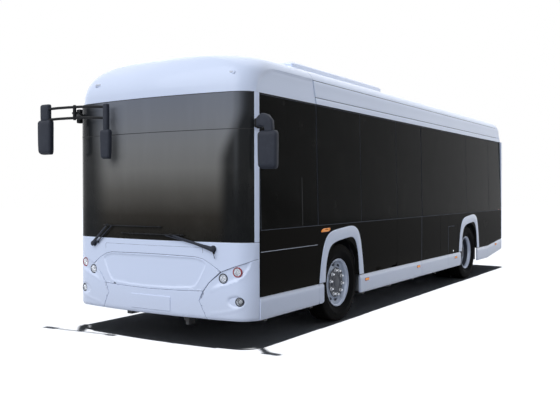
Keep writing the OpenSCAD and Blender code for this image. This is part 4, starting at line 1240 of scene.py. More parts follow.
@dataclass
class Windshield:
    """Two curved panes with their seals and the wipers in front of them."""

    low: float = 1.098
    seam: float = 2.26
    wipers: tuple[tuple[float, float, float, float, float], ...] = (
        (0.830, 0.320, 1.160, -0.420, 0.480), (-0.900, -0.640, 1.240, -0.720, 0.180))

    def build(self) -> None:
        """Builds the panes, seals and wipers."""
        far = FRONT.u_back(-SHELL.front - 0.06) - 0.001
        names = ("windshield_lower", "windshield_upper")
        for name, (z0, z1) in zip(names, ((self.low, self.seam - 0.003),
                                          (self.seam + 0.003, SHELL.eave - 0.004))):
            piece = Panel(FRONT, box_outline(-far, far, z0, z1, 0.004), edge=0.002, thick=0.008,
                          grid=0.07).show(name, Look.SCREEN)
            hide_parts("windshield")
        seal = Mould()
        for z in (self.low - 0.002, self.seam, SHELL.eave - 0.002):
            path = [self._in(far * (k / 40 - 1), z, -0.005) for k in range(81)]
            seal.tube(path, 0.0042, 8)
        for sign in (1, -1):
            seal.tube([self._in(sign * (far + 0.001), self.low + (SHELL.eave - self.low) * k / 10,
                                -0.005) for k in range(11)], 0.0042, 8)
        seal.show("windshield_seals", Look.RUBBER)
        border = Mould()
        for sign in (1, -1):
            border.rings([[self._in(sign * (far - 0.004 - w), z, -0.0105) for z in
                           (self.low, 1.5, 2.0, 2.3, SHELL.eave - 0.01)] for w in
                          (0.0, 0.03, 0.06, 0.09)], closed=False, caps=False)
        for z0, z1 in ((self.low, self.low + 0.09), (SHELL.eave - 0.05, SHELL.eave - 0.006)):
            border.rings([[self._in(far * (k / 30 - 1), z, -0.011) for k in range(61)]
                          for z in (z0, z1)], closed=False, caps=False)
        border.show("windshield_border", Look.RUBBER)
        for i, wiper in enumerate(self.wipers):
            self.wiper(i, *wiper)

    def _in(self, u: float, z: float, lift: float) -> Vector:
        """Point near the glass."""
        point, normal = FRONT.at(u, z)
        return point + normal * lift

    def wiper(self, index: int, px: float, ex: float, ez: float, b0: float, b1: float) -> None:
        """One wiper: capped pivot, cranked arm with its twin rod, carrier and blade.

        Args:
            index: place in the list.
            px: pivot's distance from the middle.
            ex: distance of the arm's end.
            ez: height of the blade.
            b0: right end of the blade.
            b1: left end of the blade.
        """
        glass = lambda x, z, lift: self._in(FRONT.u(x), z, lift)
        pivot = glass(px, 1.025, 0.0)
        out = Vector((0, -1, 0))
        hub = Mould().turned([(0.026, -0.002), (0.028, 0.012), (0.027, 0.034), (0.024, 0.042),
                              (0.012, 0.047), (0.0005, 0.048)], pivot, out, 28)
        hub.turned([(0.036, -0.004), (0.036, 0.004), (0.030, 0.008)], pivot, out, 28, True)
        aim = Vector((ex - px, 0, ez - 1.025)).normalized()
        arm = Mould()
        start = pivot + out * 0.028
        end = glass(ex, ez, 0.034)
        bend = [start - aim * 0.03, start, start.lerp(end, 0.25) + out * 0.006,
                start.lerp(end, 0.6) + out * 0.004, end, end + aim * 0.02]
        arm.tube(bend, [0.021, 0.026, 0.017, 0.012, 0.0095, 0.008], 12, 0.55, out)
        sign = 1 if px > 0 else -1
        shift = Vector((-sign * 0.075, 0, -0.012)) if px > 0 else Vector((0.075, 0, -0.010))
        rod = Mould()
        low = glass(px + shift.x, 1.030 + 0.012, 0.020)
        rod.tube([low - aim * 0.012, low, low.lerp(end + shift * 0.9, 0.5) + out * 0.004,
                  end + shift * 0.9, end + shift * 0.9 + aim * 0.01], 0.0062, 10)
        rod.turned([(0.015, -0.01), (0.016, 0.006), (0.012, 0.010), (0.0005, 0.011)], low, out, 20)
        rod.show(f"wiper_rod_{index}", Look.PLASTIC)
        carrier = Mould().tube([end + Vector((-sign * d, 0, 0)) for d in (0.11, 0.06, 0.0, -0.03)],
                               [0.005, 0.008, 0.009, 0.007], 10)
        carrier.turned([(0.012, -0.008), (0.013, 0.008), (0.010, 0.012), (0.0005, 0.013)],
                       end, out, 20)
        carrier.show(f"wiper_carrier_{index}", Look.TRIM)
        arm.show(f"wiper_arm_{index}", Look.PLASTIC)
        hub.show(f"wiper_hub_{index}", Look.PLASTIC)
        blade, squeegee = Mould(), Mould()
        xs = [b0 + (b1 - b0) * k / 24 for k in range(25)]
        lift = [0.020 + 0.006 * math.sin(math.pi * k / 24) for k in range(25)]
        blade.tube([glass(x, ez, h) for x, h in zip(xs, lift)],
                   [0.004 + 0.004 * math.sin(math.pi * k / 24) for k in range(25)], 8)
        for x in (b0 + 0.03, b0 + (b1 - b0) * 0.27, b0 + (b1 - b0) * 0.5, b0 + (b1 - b0) * 0.73,
                  b1 - 0.03):
            blade.tube([glass(x - 0.02, ez, 0.018), glass(x, ez, 0.024), glass(x + 0.02, ez, 0.018)],
                       [0.006, 0.009, 0.006], 8)
        squeegee.rings([[glass(x, ez - 0.002, 0.002), glass(x, ez + 0.001, 0.002),
                         glass(x, ez + 0.003, 0.017), glass(x, ez - 0.003, 0.017)] for x in xs])
        piece = blade.show(f"wiper_blade_{index}", Look.TRIM)
        squeegee.show(f"wiper_rubber_{index}", Look.RUBBER)
        if index == 0:
            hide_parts("wipers")
            nozzle = glass(0.838, 0.985, 0.0)
            hose = Mould().turned([(0.010, 0.0), (0.009, 0.014), (0.0005, 0.016)], nozzle, out, 16)
            hose.tube([nozzle + out * 0.012, nozzle + out * 0.024 + Vector((0.012, 0, -0.02)),
                       nozzle + out * 0.022 + Vector((0.020, 0, -0.045)),
                       nozzle + out * 0.008 + Vector((0.010, 0, -0.055))], 0.0035, 8)
            hose.show("washer_nozzle", Look.TRIM)


@dataclass
class Mirrors:
    """Both outside mirrors with shrouds, arms and the kerb mirror."""

    def build(self) -> None:
        """Builds the left mirror and the right-hand set."""
        self.left()
        self.right()

    def _housing(self, name: str, x0: float, x1: float, s0: float, s1: float, z0: float,
                 z1: float, taper: float = 0.9) -> bpy.types.Object:
        """Box-shaped housing with rounded ends, a little narrower at the bottom.

        Args:
            name: piece name.
            x0: lower side.
            x1: upper side.
            s0: foremost station.
            s1: rearmost station.
            z0: bottom.
            z1: top.
            taper: width at the bottom over the widest.

        Returns:
            The piece.
        """
        rings = []
        steps, ends = 24, 0.20 * (x1 - x0)
        for k in range(steps + 1):
            t = k / steps
            z = z0 + (z1 - z0) * (0.5 - 0.5 * math.cos(math.pi * t))
            near = min(1.0, min(z - z0, z1 - z) / ends)
            pull = 1 - math.sqrt(max(0.0, 1 - (1 - near) ** 2))
            wide = ((x1 - x0) - 1.7 * ends * pull) * (taper + (1 - taper) * ease(t, 0.0, 0.7))
            deep = ((s1 - s0) * 0.98 - 1.1 * ends * pull) * (0.88 + 0.12 * ease(t, 0.0, 0.4))
            rings.append([Vector(((x0 + x1) / 2 + p[0], SHELL.y(s1) - deep / 2 + p[1], z))
                          for p in rounded_box(wide, deep, min(wide, deep) * 0.36, 5)])
        return Mould().rings(rings).show(name, Look.PLASTIC, sharp=50)

    def _glass(self, name: str, x0: float, x1: float, s: float, z0: float, z1: float) -> None:
        """Mirror glass on the rear of a housing."""
        skin = FlatSkin(Vector((0, SHELL.y(s), 0)), Vector((-1, 0, 0)), Vector((0, 0, 1)))
        Panel(skin, box_outline(-x1, -x0, z0, z1, 0.03), edge=0.002, thick=0.004,
              grid=0.1).show(name, Look.CHROME)

    def left(self) -> None:
        """Left mirror on its short shrouded arm."""
        head = self._housing("mirror_left_head", 1.382, 1.603, -0.234, -0.150, 1.842, 2.222, 0.96)
        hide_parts("mirrors")
        self._glass("mirror_left_glass", 1.402, 1.583, -0.1495, 1.875, 2.19)
        shroud = []
        path = [(1.30, -0.062, 2.316, 0.046, 0.030), (1.33, -0.095, 2.318, 0.052, 0.034),
                (1.37, -0.13, 2.326, 0.060, 0.036), (1.42, -0.165, 2.334, 0.064, 0.037),
                (1.46, -0.180, 2.322, 0.066, 0.036), (1.492, -0.182, 2.292, 0.060, 0.035),
                (1.502, -0.182, 2.252, 0.050, 0.034), (1.503, -0.182, 2.216, 0.046, 0.033)]
        for i, (x, s, z, high, deep) in enumerate(path):
            here = Vector((x, SHELL.y(s), z))
            a, b = path[max(0, i - 1)], path[min(len(path) - 1, i + 1)]
            along = (Vector((b[0], b[1], b[2])) - Vector((a[0], a[1], a[2]))).normalized()
            across = Vector((along.y, -along.x, 0))
            across = across.normalized() if across.length > 0.2 else Vector((0, -1, 0))
            rise = along.cross(across).normalized()
            if i >= 5:
                across = Vector((0, -1, 0))
                rise = Vector((1, 0, 0)) if along.z < -0.9 else along.cross(across).normalized()
            shroud.append([here + across * p[0] + rise * p[1]
                           for p in rounded_box(2 * deep, 2 * high, deep * 0.7, 5)])
        Mould().rings(self._aligned(shroud)).show("mirror_left_shroud", Look.PLASTIC, sharp=50)
        foot = Mould().block((SHELL.half - 0.012, SHELL.y(-0.098), 2.268),
                             (SHELL.half + 0.040, SHELL.y(-0.016), 2.362), 0.01)
        foot.turned([(0.013, 0.0), (0.012, 0.006), (0.0005, 0.007)],
                    Vector((1.44, SHELL.y(-0.199), 2.335)), Vector((0, -1, 0)), 20)
        foot.turned([(0.030, -0.058), (0.034, -0.05), (0.034, 0.05), (0.030, 0.058)],
                    Vector((SHELL.half + 0.052, SHELL.y(-0.085), 2.315)), Vector((0, 0, 1)), 24, True)
        foot.show("mirror_left_foot", Look.TRIM)

    def _aligned(self, rings: list[list[Vector]]) -> list[list[Vector]]:
        """Turns each ring's start and sense to match the ring before it."""
        result = [rings[0]]
        for ring in rings[1:]:
            count, last = len(ring), result[-1]
            choices = [[base[(i + k) % count] for i in range(count)]
                       for base in (ring, ring[::-1]) for k in range(count)]
            result.append(min(choices, key=lambda c: sum((a - b).length for a, b in zip(c, last))))
        return result

    def right(self) -> None:
        """Right-hand set: bracket, two curved tubes, main and kerb mirrors."""
        tubes = Mould()
        for z, dip in ((2.585, 0.0), (2.460, 0.0)):
            path = [Vector((-1.495, SHELL.y(-0.405), z)), Vector((-1.42, SHELL.y(-0.412), z + 0.004)),
                    Vector((-1.28, SHELL.y(-0.408), z + 0.006)), Vector((-1.12, SHELL.y(-0.395), z + 0.006)),
                    Vector((-0.95, SHELL.y(-0.378), z + 0.004)), Vector((-0.80, SHELL.y(-0.366), z - 0.002)),
                    Vector((-0.66, SHELL.y(-0.354), z - 0.010)), Vector((-0.56, SHELL.y(-0.346), z - 0.018))]
            tubes.tube(path, 0.0155, 14)
        tubes.show("mirror_right_tubes", Look.TRIM)
        post = Mould()
        post.tube([Vector((-1.022, SHELL.y(-0.388), z)) for z in (2.44, 2.47, 2.58, 2.612)],
                  [0.016, 0.020, 0.020, 0.016], 14)
        post.tube([Vector((-1.018, SHELL.y(-0.372), 2.525)), Vector((-1.10, SHELL.y(-0.285), 2.525)),
                   Vector((-1.20, SHELL.y(-0.172), 2.525)), Vector((-1.262, SHELL.y(-0.092), 2.525))],
                  [0.045, 0.052, 0.058, 0.062], 16, 0.28)
        post.block((-SHELL.half - 0.040, SHELL.y(-0.098), 2.442),
                   (-SHELL.half + 0.025, SHELL.y(-0.030), 2.608), 0.012)
        post.show("mirror_right_bracket", Look.TRIM)
        self._housing("mirror_right_head", -1.603, -1.382, -0.449, -0.365, 2.057, 2.468, 0.94)
        self._housing("mirror_right_shroud", -1.563, -1.417, -0.438, -0.372, 2.442, 2.648, 0.99)
        self._glass("mirror_right_glass", -1.583, -1.402, -0.3645, 2.09, 2.43)
        self._housing("mirror_kerb_head", -0.638, -0.492, -0.384, -0.316, 1.987, 2.313, 0.88)
        self._housing("mirror_kerb_shroud", -0.600, -0.530, -0.374, -0.316, 2.292, 2.603, 0.96)
        self._glass("mirror_kerb_glass", -0.622, -0.508, -0.3155, 2.02, 2.285)


# ------------------------------------------------------------------ roof
@dataclass
class Roof:
    """Domed front cap, grooved roof and rear cap, each lofted from one cross-section."""

    low: float = 2.643
    grooves: tuple[float, ...] = (2.720, 2.925)
    levels: tuple[float, ...] = (2.66, 2.685, 2.74, 2.77, 2.80, 2.83, 2.86, 2.89, 2.91, 2.95,
                                 2.975, 3.0, 3.02, 3.035, 3.05, 3.0625, 3.075, 3.087, 3.098, 3.108,
                                 3.117, 3.125, 3.131, 3.1355, 3.1385, 3.1397)

    def build(self) -> None:
        """Builds the three roof pieces, the pod and the lamps."""
        joint = SHELL.cap_joint
        front = self._cap(End.FRONT, joint - 0.003).show("roof_front_cap", Look.ROOF, sharp=50)
        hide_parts("front_roof_cap")
        main = self._run(joint + 0.003, 9.0).show("roof_main", Look.ROOF, sharp=50)
        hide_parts("roof_shell")
        self._cap(End.REAR, 9.0).show("roof_rear_cap", Look.ROOF, sharp=50)
        self.pod()
        self.markers()
        # painted shade: grey beads laid along the roof grooves to darken them
        seams = Mould()
        for sign in (1, -1):
            for z in self.grooves:
                x = sign * (self.half_width(z) - 0.0065)
                seams.tube([Vector((x, SHELL.y(joint + (9.0 - joint) * k / 12), z)) for k in range(13)],
                           0.0042, 6)
        seams.show("roof_groove_painted_shade", Look.SEAM_AND_PAINTED_SEAM_LIGHT)

    def half_width(self, z: float) -> float:
        """Half width of the roof at a height."""
        x_edge = SHELL.half - 0.067 - SHELL.edge_r
        z_edge = SHELL.roof - SHELL.crown_r + math.sqrt(
            (SHELL.crown_r - SHELL.edge_r) ** 2 - x_edge ** 2)
        turn = math.asin(x_edge / (SHELL.crown_r - SHELL.edge_r))
        if z <= z_edge:
            top = SHELL.half - SHELL.lean
            return top + (x_edge + SHELL.edge_r - top) * (z - SHELL.glass_top) / (
                z_edge - SHELL.glass_top)
        if z <= z_edge + SHELL.edge_r * math.cos(turn):
            return x_edge + math.sqrt(SHELL.edge_r ** 2 - (z - z_edge) ** 2)
        drop = z - (SHELL.roof - SHELL.crown_r)
        return math.sqrt(max(0.0, SHELL.crown_r ** 2 - drop ** 2))

    def heights(self) -> list[float]:
        """Heights of the rings, closer together beside the grooves."""
        extra = [g + d for g in self.grooves for d in (-0.009, -0.0045, -0.0025, 0, 0.0025, 0.0045, 0.009)]
        return sorted({self.low, *self.levels, *extra, SHELL.roof - 0.00002})

    def groove(self, z: float, station: float) -> float:
        """Depth of the grooves at a height; the lower one starts behind the front cap."""
        deep = 0.0
        for i, g in enumerate(self.grooves):
            if i or station > SHELL.cap_joint:
                deep += 0.010 * math.exp(-(((z - g) / 0.0032) ** 2))
        return deep

    def _cap(self, end: End, joint: float) -> Mould:
        """Cap from the eave to the crown.

        Args:
            end: end of the bus.
            joint: station where the cap meets the roof.

        Returns:
            Its corners and faces.
        """
        front = end is End.FRONT
        dome = SHELL.dome if front else SHELL.rear_dome
        bow = SHELL.front_bow if front else SHELL.rear_bow
        corner = SHELL.front_corner if front else SHELL.rear_corner
        sign = 1.0 if front else -1.0
        tip = SHELL.front if front else SHELL.rear
        rings = []
        for z in self.heights():
            half = self.half_width(z)
            over = max(0.0, z - (SHELL.roof - dome))
            back = dome - math.sqrt(max(0.0, dome * dome - over * over))
            radius = min(corner + 1.1 * back + 0.02, 0.97 * half)
            row = self._half_ring(half, tip, sign, back, bow, radius, joint)
            ring = []
            for x, s, nx in row:
                depth = self.groove(z, joint + 1 if not front else s) if not front else 0.0
                if front:
                    depth = self._front_seam(s, z) * abs(nx)
                ring.append(Vector((x - math.copysign(depth * abs(nx), x), SHELL.y(s), z)))
            rings.append(ring)
        mould = Mould().rings(rings, closed=False, caps=False)
        mould.faces.append(list(range(len(mould.verts) - len(rings[0]), len(mould.verts))))
        return mould

    def _front_seam(self, s: float, z: float) -> float:
        """Depth of the cheek inside the arched seam of the front cap."""
        if s > 0.46:
            away = self.grooves[1] - z
            nearness = abs(away)
        else:
            u, v = (0.46 - s) / 0.445, (z - 2.635) / 0.29
            r = math.hypot(u, v)
            away = (1.0 - r) * 0.33
            nearness = abs(away)
        return 0.010 * ease(away, 0.0, 0.014) + 0.006 * math.exp(-((nearness / 0.0045) ** 2))

    def _half_ring(self, half: float, tip: float, sign: float, back: float, bow: float,
                   radius: float, joint: float) -> list[tuple[float, float, float]]:
        """Outline of a cap at one height as (x, station, sideways share of the normal)."""
        centre = half - radius
        turn = math.asin(min(1.0, max(0.0, centre / (bow - radius))))
        deep = bow - (bow - radius) * math.cos(turn)
        row: list[tuple[float, float, float]] = []
        for k in range(15):
            a = turn * k / 14
            row.append((bow * math.sin(a), back + bow * (1 - math.cos(a)), math.sin(a)))
        for k in range(1, 25):
            a = turn + (math.pi / 2 - turn) * k / 24
            row.append((centre + radius * math.sin(a), back + deep - radius * math.cos(a),
                        math.sin(a)))
        last = row[-1][1]
        length = abs(joint - tip)
        row += [(half, last + (length - last) * ease_in, 1.0)
                for ease_in in (k / 40 for k in range(1, 41))]
        right = [(-x, tip + sign * b, n) for x, b, n in reversed(row[1:])]
        return right + [(x, tip + sign * b, n) for x, b, n in row]

    def _run(self, start: float, end: float) -> Mould:
        """Straight roof between two stations."""
        half = []
        for z in self.heights():
            half.append((self.half_width(z) - self.groove(z, start + 1), z))
        section = [*half, *[(-x, z) for x, z in reversed(half)]]
        inner = [(0.97 * x, z - 0.03) for x, z in reversed(section)]
        stations = [start, start + 0.004, *[start + (end - start) * k / 20 for k in range(1, 20)], end]
        return Mould().rings([[Vector((x, SHELL.y(s), z)) for x, z in [*section, *inner]]
                              for s in stations])

    def pod(self) -> None:
        """Roof unit: chamfered housing with fan wells, louvres and service covers."""
        low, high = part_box("roof_unit")
        top, y0, y1, half = high.z, low.y, high.y, high.x
        fans = [(x, y0 + 0.52 + 0.62 * k) for x in (-0.36, 0.36) for k in range(4)]
        shell = Mould()
        rows = []
        for z, pull in ((SHELL.roof - 0.14, 0.0), (top - 0.036, 0.0), (top - 0.012, 0.028),
                        (top - 0.004, 0.040), (top, 0.055)):
            rows.append([Vector((p[0], (y0 + y1) / 2 + p[1], z)) for p in rounded_box(
                2 * (half - pull), (y1 - y0) - 2 * pull * 1.5, 0.03, 4)])
        shell.rings(rows, caps=False)
        piece = shell.show("roof_pod_skirt", Look.ROOF, sharp=50)
        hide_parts("roof_unit")
        skin = FlatSkin(Vector((0, 0, top)), Vector((1, 0, 0)), Vector((0, 1, 0)))
        edge = [(p[0], (y0 + y1) / 2 + p[1]) for p in rounded_box(
            2 * (half - 0.055), (y1 - y0) - 0.165, 0.03, 4)]
        Panel(skin, edge, [circle(x, y, 0.225, 40) for x, y in fans], grid=0.16, edge=0.004,
              thick=0.02).show("roof_pod_top", Look.ROOF)
        wells, guards, blades = Mould(), Mould(), Mould()
        up = Vector((0, 0, 1))
        for x, y in fans:
            at = Vector((x, y, top))
            wells.turned([(0.2245, -0.004), (0.220, -0.05), (0.218, -0.10), (0.001, -0.10)], at, up, 40)
            for r in (0.045, 0.085, 0.125, 0.165, 0.205):
                guards.tube([at + Vector((r * math.cos(a), r * math.sin(a), -0.005))
                             for a in (2 * math.pi * k / 36 for k in range(37))], 0.0022, 6)
            for k in range(4):
                a = math.pi * k / 4
                d = Vector((math.cos(a), math.sin(a), 0)) * 0.219
                guards.tube([at - d + up * -0.008, at + d + up * -0.008], 0.003, 6)
            blades.turned([(0.05, -0.085), (0.052, -0.04), (0.045, -0.03), (0.0005, -0.028)], at, up, 24)
            for k in range(7):
                a = 2 * math.pi * k / 7
                rings = []
                for j in range(5):
                    r = 0.045 + 0.036 * j
                    b = a + 0.25 * j / 4
                    spread = 0.30 - 0.03 * j
                    rings.append([at + Vector((r * math.cos(b + w), r * math.sin(b + w), h)) for w, h in
                                  ((-spread / 2, -0.075), (spread / 2, -0.045), (spread / 2, -0.048),
                                   (-spread / 2, -0.078))])
                blades.rings(rings)
        wells.show("roof_fan_wells", Look.TRIM)
        guards.show("roof_fan_guards", Look.TRIM)
        blades.show("roof_fans", Look.PLASTIC)
        slats = Mould()
        for sign in (1, -1):
            for k in range(3):
                a = y0 + 0.3 + 0.80 * k
                slats.block((sign * half - 0.004, a, SHELL.roof - 0.035),
                            (sign * half + 0.004, a + 0.5, SHELL.roof - 0.030), 0.002)
        slats.show("roof_pod_slats", Look.SEAM_AND_PAINTED_SEAM_LIGHT)
        hatches = Mould()
        for s in (5.4, 7.6):
            z = SHELL.roof - 0.004
            hatches.rings([[Vector((p[0], SHELL.y(s) + p[1], zz)) for p in rounded_box(
                w, w * 0.9, 0.06, 5)] for zz, w in ((z - 0.05, 0.78), (z + 0.02, 0.78),
                                                   (z + 0.034, 0.76), (z + 0.040, 0.70),
                                                   (z + 0.046, 0.40))])
        hatches.show("roof_hatches", Look.ROOF)

    def markers(self) -> None:
        """Two small clearance lamps on the forehead."""
        pads = Mould()
        lenses = Mould()
        for x, z in ((1.0, 2.843), (-0.85, 2.849)):
            over = z - (SHELL.roof - SHELL.dome)
            back = SHELL.dome - math.sqrt(SHELL.dome ** 2 - over ** 2)
            s = SHELL.front + back + SHELL.front_bow - math.sqrt(SHELL.front_bow ** 2 - x * x)
            slope = math.asin(over / SHELL.dome)
            out = Vector((0, -math.cos(slope), math.sin(slope)))
            rise = Vector((0, math.sin(slope), math.cos(slope)))
            at = Vector((x, SHELL.y(s) + (0.02 if abs(x) > 0.9 else 0.0), z))
            for mould, w, h, d0, d1 in ((pads, 0.118, 0.040, -0.02, 0.008),
                                        (lenses, 0.086, 0.022, 0.0, 0.014)):
                mould.rings([[at + Vector((p[0], 0, 0)) + rise * p[1] + out * d for p in rounded_box(
                    w * k, h * k, h * 0.4, 4)] for d, k in ((d0, 1.0), (d1 - 0.003, 1.0), (d1, 0.86))])
        pads.show("clearance_lamp_pads", Look.ROOF)
        lenses.show("clearance_lamp_lenses", Look.WHITE_LENS)


# ------------------------------------------------------------------ sides
@dataclass
class Flank:
    """One side: glazing, black panels, skirts, arch trims and markers."""

    side: Side
    panes: tuple[Point, ...]
    doors: tuple[Point, ...] = ()
    proud: float = 0.0016
    arch_r: float = 0.500
    arch_z: float = 0.529

    @property
    def skin(self) -> SideSkin:
        """Skin of this side."""
        return SideSkin(self.side)

    @property
    def tag(self) -> str:
        """Name part of this side."""
        return self.side.name.lower()

    def loop(self, points: Sequence[Point]) -> list[Point]:
        """Outline as it is; the panel turns it the right way round."""
        return list(points)

    def build(self) -> None:
        """Builds the pieces of this side."""
        self.glass()
        self.lower_panels()
        self.skirts()
        self.arches()
        self.markers()

    def glass(self) -> None:
        """Side panes, their rubber joints and the bar of the driver's sliding pane."""
        joints = Mould()
        for i, (a, b) in enumerate(self.panes):
            piece = Panel(self.skin, box_outline(a + 0.001, b - 0.001, SHELL.belt + 0.001,
                                                 SHELL.glass_top, 0.006),
                          edge=0.0025, thick=0.007, grid=0.4, lift=-0.0002).show(
                              f"pane_{self.tag}_{i}", Look.GLASS)
            if i == 0:
                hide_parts("windows")
            for s in (a - 0.001, b + 0.001):
                self.strip(joints, [(s, SHELL.belt), (s, SHELL.glass_top)], 0.0022, -0.004)
        first, last = self.panes[0][0], self.panes[-1][1]
        spans = [(first, last)] if self.side is Side.LEFT else [(1.30, 3.56), (4.94, 9.17)]
        for a, b in spans:
            for z in (SHELL.belt - 0.001, SHELL.glass_top + 0.003):
                self.strip(joints, [(a + (b - a) * k / 20, z) for k in range(21)], 0.0026, -0.002)
        joints.show(f"pane_joints_{self.tag}", Look.SEAM_AND_PAINTED_SEAM_LIGHT)
        if self.side is Side.LEFT:
            bars = Mould()
            self.strip(bars, [(0.86, 1.235), (0.86, 1.775)], 0.008, 0.0012, 0.3)
            bars.show("driver_pane_bars", Look.TRIM)

    def strip(self, mould: Mould, line: Sequence[Point], radius: float, lift: float,
              flat: float = 1.0) -> None:
        """Lays a bead along a line on the side.

        Args:
            mould: mould that takes it.
            line: (station, height) points.
            radius: half width.
            lift: height of its middle over the side.
            flat: height over width of the section.
        """
        path = []
        for s, z in line:
            point, normal = self.skin.at(s, z)
            path.append(point + normal * lift)
        mould.tube(path, radius, 8, flat, Vector((self.side.value, 0, 0)))

    def arch(self, station: float, radius: float, z: float) -> list[Point]:
        """Top of a wheel opening from its front foot over to its rear foot."""
        return [(station - radius * math.cos(a), self.arch_z + radius * math.sin(a))
                for a in (math.pi * k / 28 for k in range(29))]

    def lower_panels(self) -> None:
        """Black panels between the belt and the skirts."""
        low, top = SHELL.skirt_top + 0.003, SHELL.belt - 0.004
        f, r, g = SHELL.front_axle, SHELL.rear_axle, 0.0028
        rise = lambda s: low + max(0.0, s - 8.19) * 0.088
        cuts = {
            "belt_front": [(0.006, 0.9955), (1.2075, 0.9955), (1.2075, top), (0.006, top)],
            "sill_front": [(0.006, low), (1.2075, low), (1.2075, 0.9905), (0.006, 0.9905)],
            "front_arch": [(1.213, low), *self.arch(f, self.arch_r + 0.004, low), (3.577, low),
                           (3.577, top), (1.213, top)],
            "middle": [(3.583, low), (4.560, low), (4.560, top), (3.583, top)],
            "middle_rear": [(4.566, low), (5.417, low), (5.417, top), (4.566, top)],
            "flap_front": [(5.423, low), (5.8215, low), (5.8215, top), (5.423, top)],
            "rear_arch": [(5.8225, 1.010), (6.338, 1.010), (6.338, low), *self.arch(r, self.arch_r + 0.004, low),
                          (8.19, low), (9.185, rise(9.185)), (9.185, top), (5.8225, top)],
        }
        if self.side is Side.RIGHT:
            d = self.doors
            cuts = {
                "fore": [(0.006, low), (d[0][0] - 0.004, low), (d[0][0] - 0.004, top), (0.006, top)],
                "front_arch": [(d[0][1] + 0.004, low), *self.arch(f, self.arch_r + 0.004, low),
                               (3.577, low), (3.577, top), (d[0][1] + 0.004, top)],
                "middle_rear": [(d[1][1] + 0.004, low), (5.817, low), (5.817, top), (d[1][1] + 0.004, top)],
                "rear_arch": [(5.823, low), *self.arch(r, self.arch_r + 0.004, low), (8.19, low),
                              (9.185, rise(9.185)), (9.185, top), (5.823, top)],
            }
        for name, loop in cuts.items():
            Panel(self.skin, loop, edge=0.0014, thick=0.0012, grid=0.14, lift=self.proud).show(
                f"panel_{self.tag}_{name}", Look.PANEL)
        if self.side is Side.LEFT:
            # painted highlight: a pale strip along the seam at height 0.993, in place of the light on the seam's edge
            bead = Mould()
            self.strip(bead, [(0.008, 0.993), (0.6, 0.993), (1.206, 0.993)], 0.0042, 0.0005, 0.5)
            bead.show("side_painted_highlight", Look.PALE_METAL_AND_HIGHLIGHT)
            # painted highlights: pale grey strips along the seam at 4.563, the flap edges and the belt line, in place
            # of the light on the seam edges
            seams = Mould()
            self.strip(seams, [(4.563, low), (4.563, top)], 0.0060, 0.0012, 0.5)
            self.strip(seams, [(5.8215, 0.56), (5.8215, 1.008)], 0.0060, 0.0012, 0.5)
            self.strip(seams, [(5.824, 1.0095), (6.14, 1.0095)], 0.0055, 0.0012, 0.5)
            self.strip(seams, [(0.006 + k * 9.17 / 40, SHELL.belt - 0.002) for k in range(41)],
                       0.0028, 0.0, 0.5)
            seams.show("side_seam_painted_highlights", Look.SEAM_AND_PAINTED_SEAM_LIGHT)

    def skirts(self) -> None:
        """White skirts with a chamfered top edge, their end pieces and lower returns."""
        low, top = SHELL.skirt_low, SHELL.skirt_top
        f, r = SHELL.front_axle, SHELL.rear_axle
        spans = [(0.004, 1.2535), (1.2575, 1.372), (f + 0.500, 4.5605), (4.5655, 5.8175),
                 (5.8225, r - 0.500), (r + 0.500, 8.187)]
        pieces: list[list[Point]] = [[(a, low), (b, low), (b, top), (a, top)] for a, b in spans]
        pieces.append([(8.191, low), (9.188, low + 0.104 * 0.998), (9.188, top + 0.088 * 0.998), (8.191, top)])
        cut = []
        for loop in pieces:
            keep = [loop]
            for a, b in self.doors:
                nxt = []
                for piece in keep:
                    x0, x1 = piece[0][0], piece[1][0]
                    if x1 <= a or x0 >= b:
                        nxt.append(piece)
                        continue
                    for p0, p1, t in ((x0, min(x1, a - 0.003), top), (max(x0, a), min(x1, b), 0.340),
                                      (max(x0, b + 0.003), x1, top)):
                        if p1 - p0 > 0.03:
                            nxt.append([(p0, low), (p1, low), (p1, t), (p0, t)])
                keep = nxt
            cut += keep

        def relief(u: float, v: float) -> float:
            """Bevelled upper band and rolled lower edge."""
            line_low = low + max(0.0, u - 8.19) * 0.104
            line_top = top + max(0.0, u - 8.19) * 0.088
            band = -0.014 * ease(v - line_top, -0.036, -0.006) if v > 0.4 else 0.0
            return band - 0.010 * (1 - ease(v - line_low, 0.0, 0.03)) ** 2

        for i, loop in enumerate(cut):
            round_end = 0.03 if abs(loop[1][0] - 1.372) < 0.01 or abs(loop[0][0] - (f + 0.5)) < 0.01 else 0.006
            piece = Panel(self.skin, soften(loop, round_end, 3), edge=0.003, thick=0.028, grid=0.034,
                          lift=0.001, relief=relief).show(f"skirt_{self.tag}_{i}", Look.PAINT)
            if i == 0:
                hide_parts("side_skirts")

    def smooth(self, points: Sequence[Point], steps: int = 5) -> list[Point]:
        """Smooth curve through points."""
        result = []
        for i in range(len(points) - 1):
            p0, p1 = Vector(points[max(i - 1, 0)]), Vector(points[i])
            p2, p3 = Vector(points[i + 1]), Vector(points[min(i + 2, len(points) - 1)])
            for k in range(steps):
                t = k / steps
                q = 0.5 * ((2 * p1) + (p2 - p0) * t + (2 * p0 - 5 * p1 + 4 * p2 - p3) * t * t
                           + (3 * p1 - p0 - 3 * p2 + p3) * t ** 3)
                result.append((q.x, q.y))
        return [*result, tuple(points[-1])]

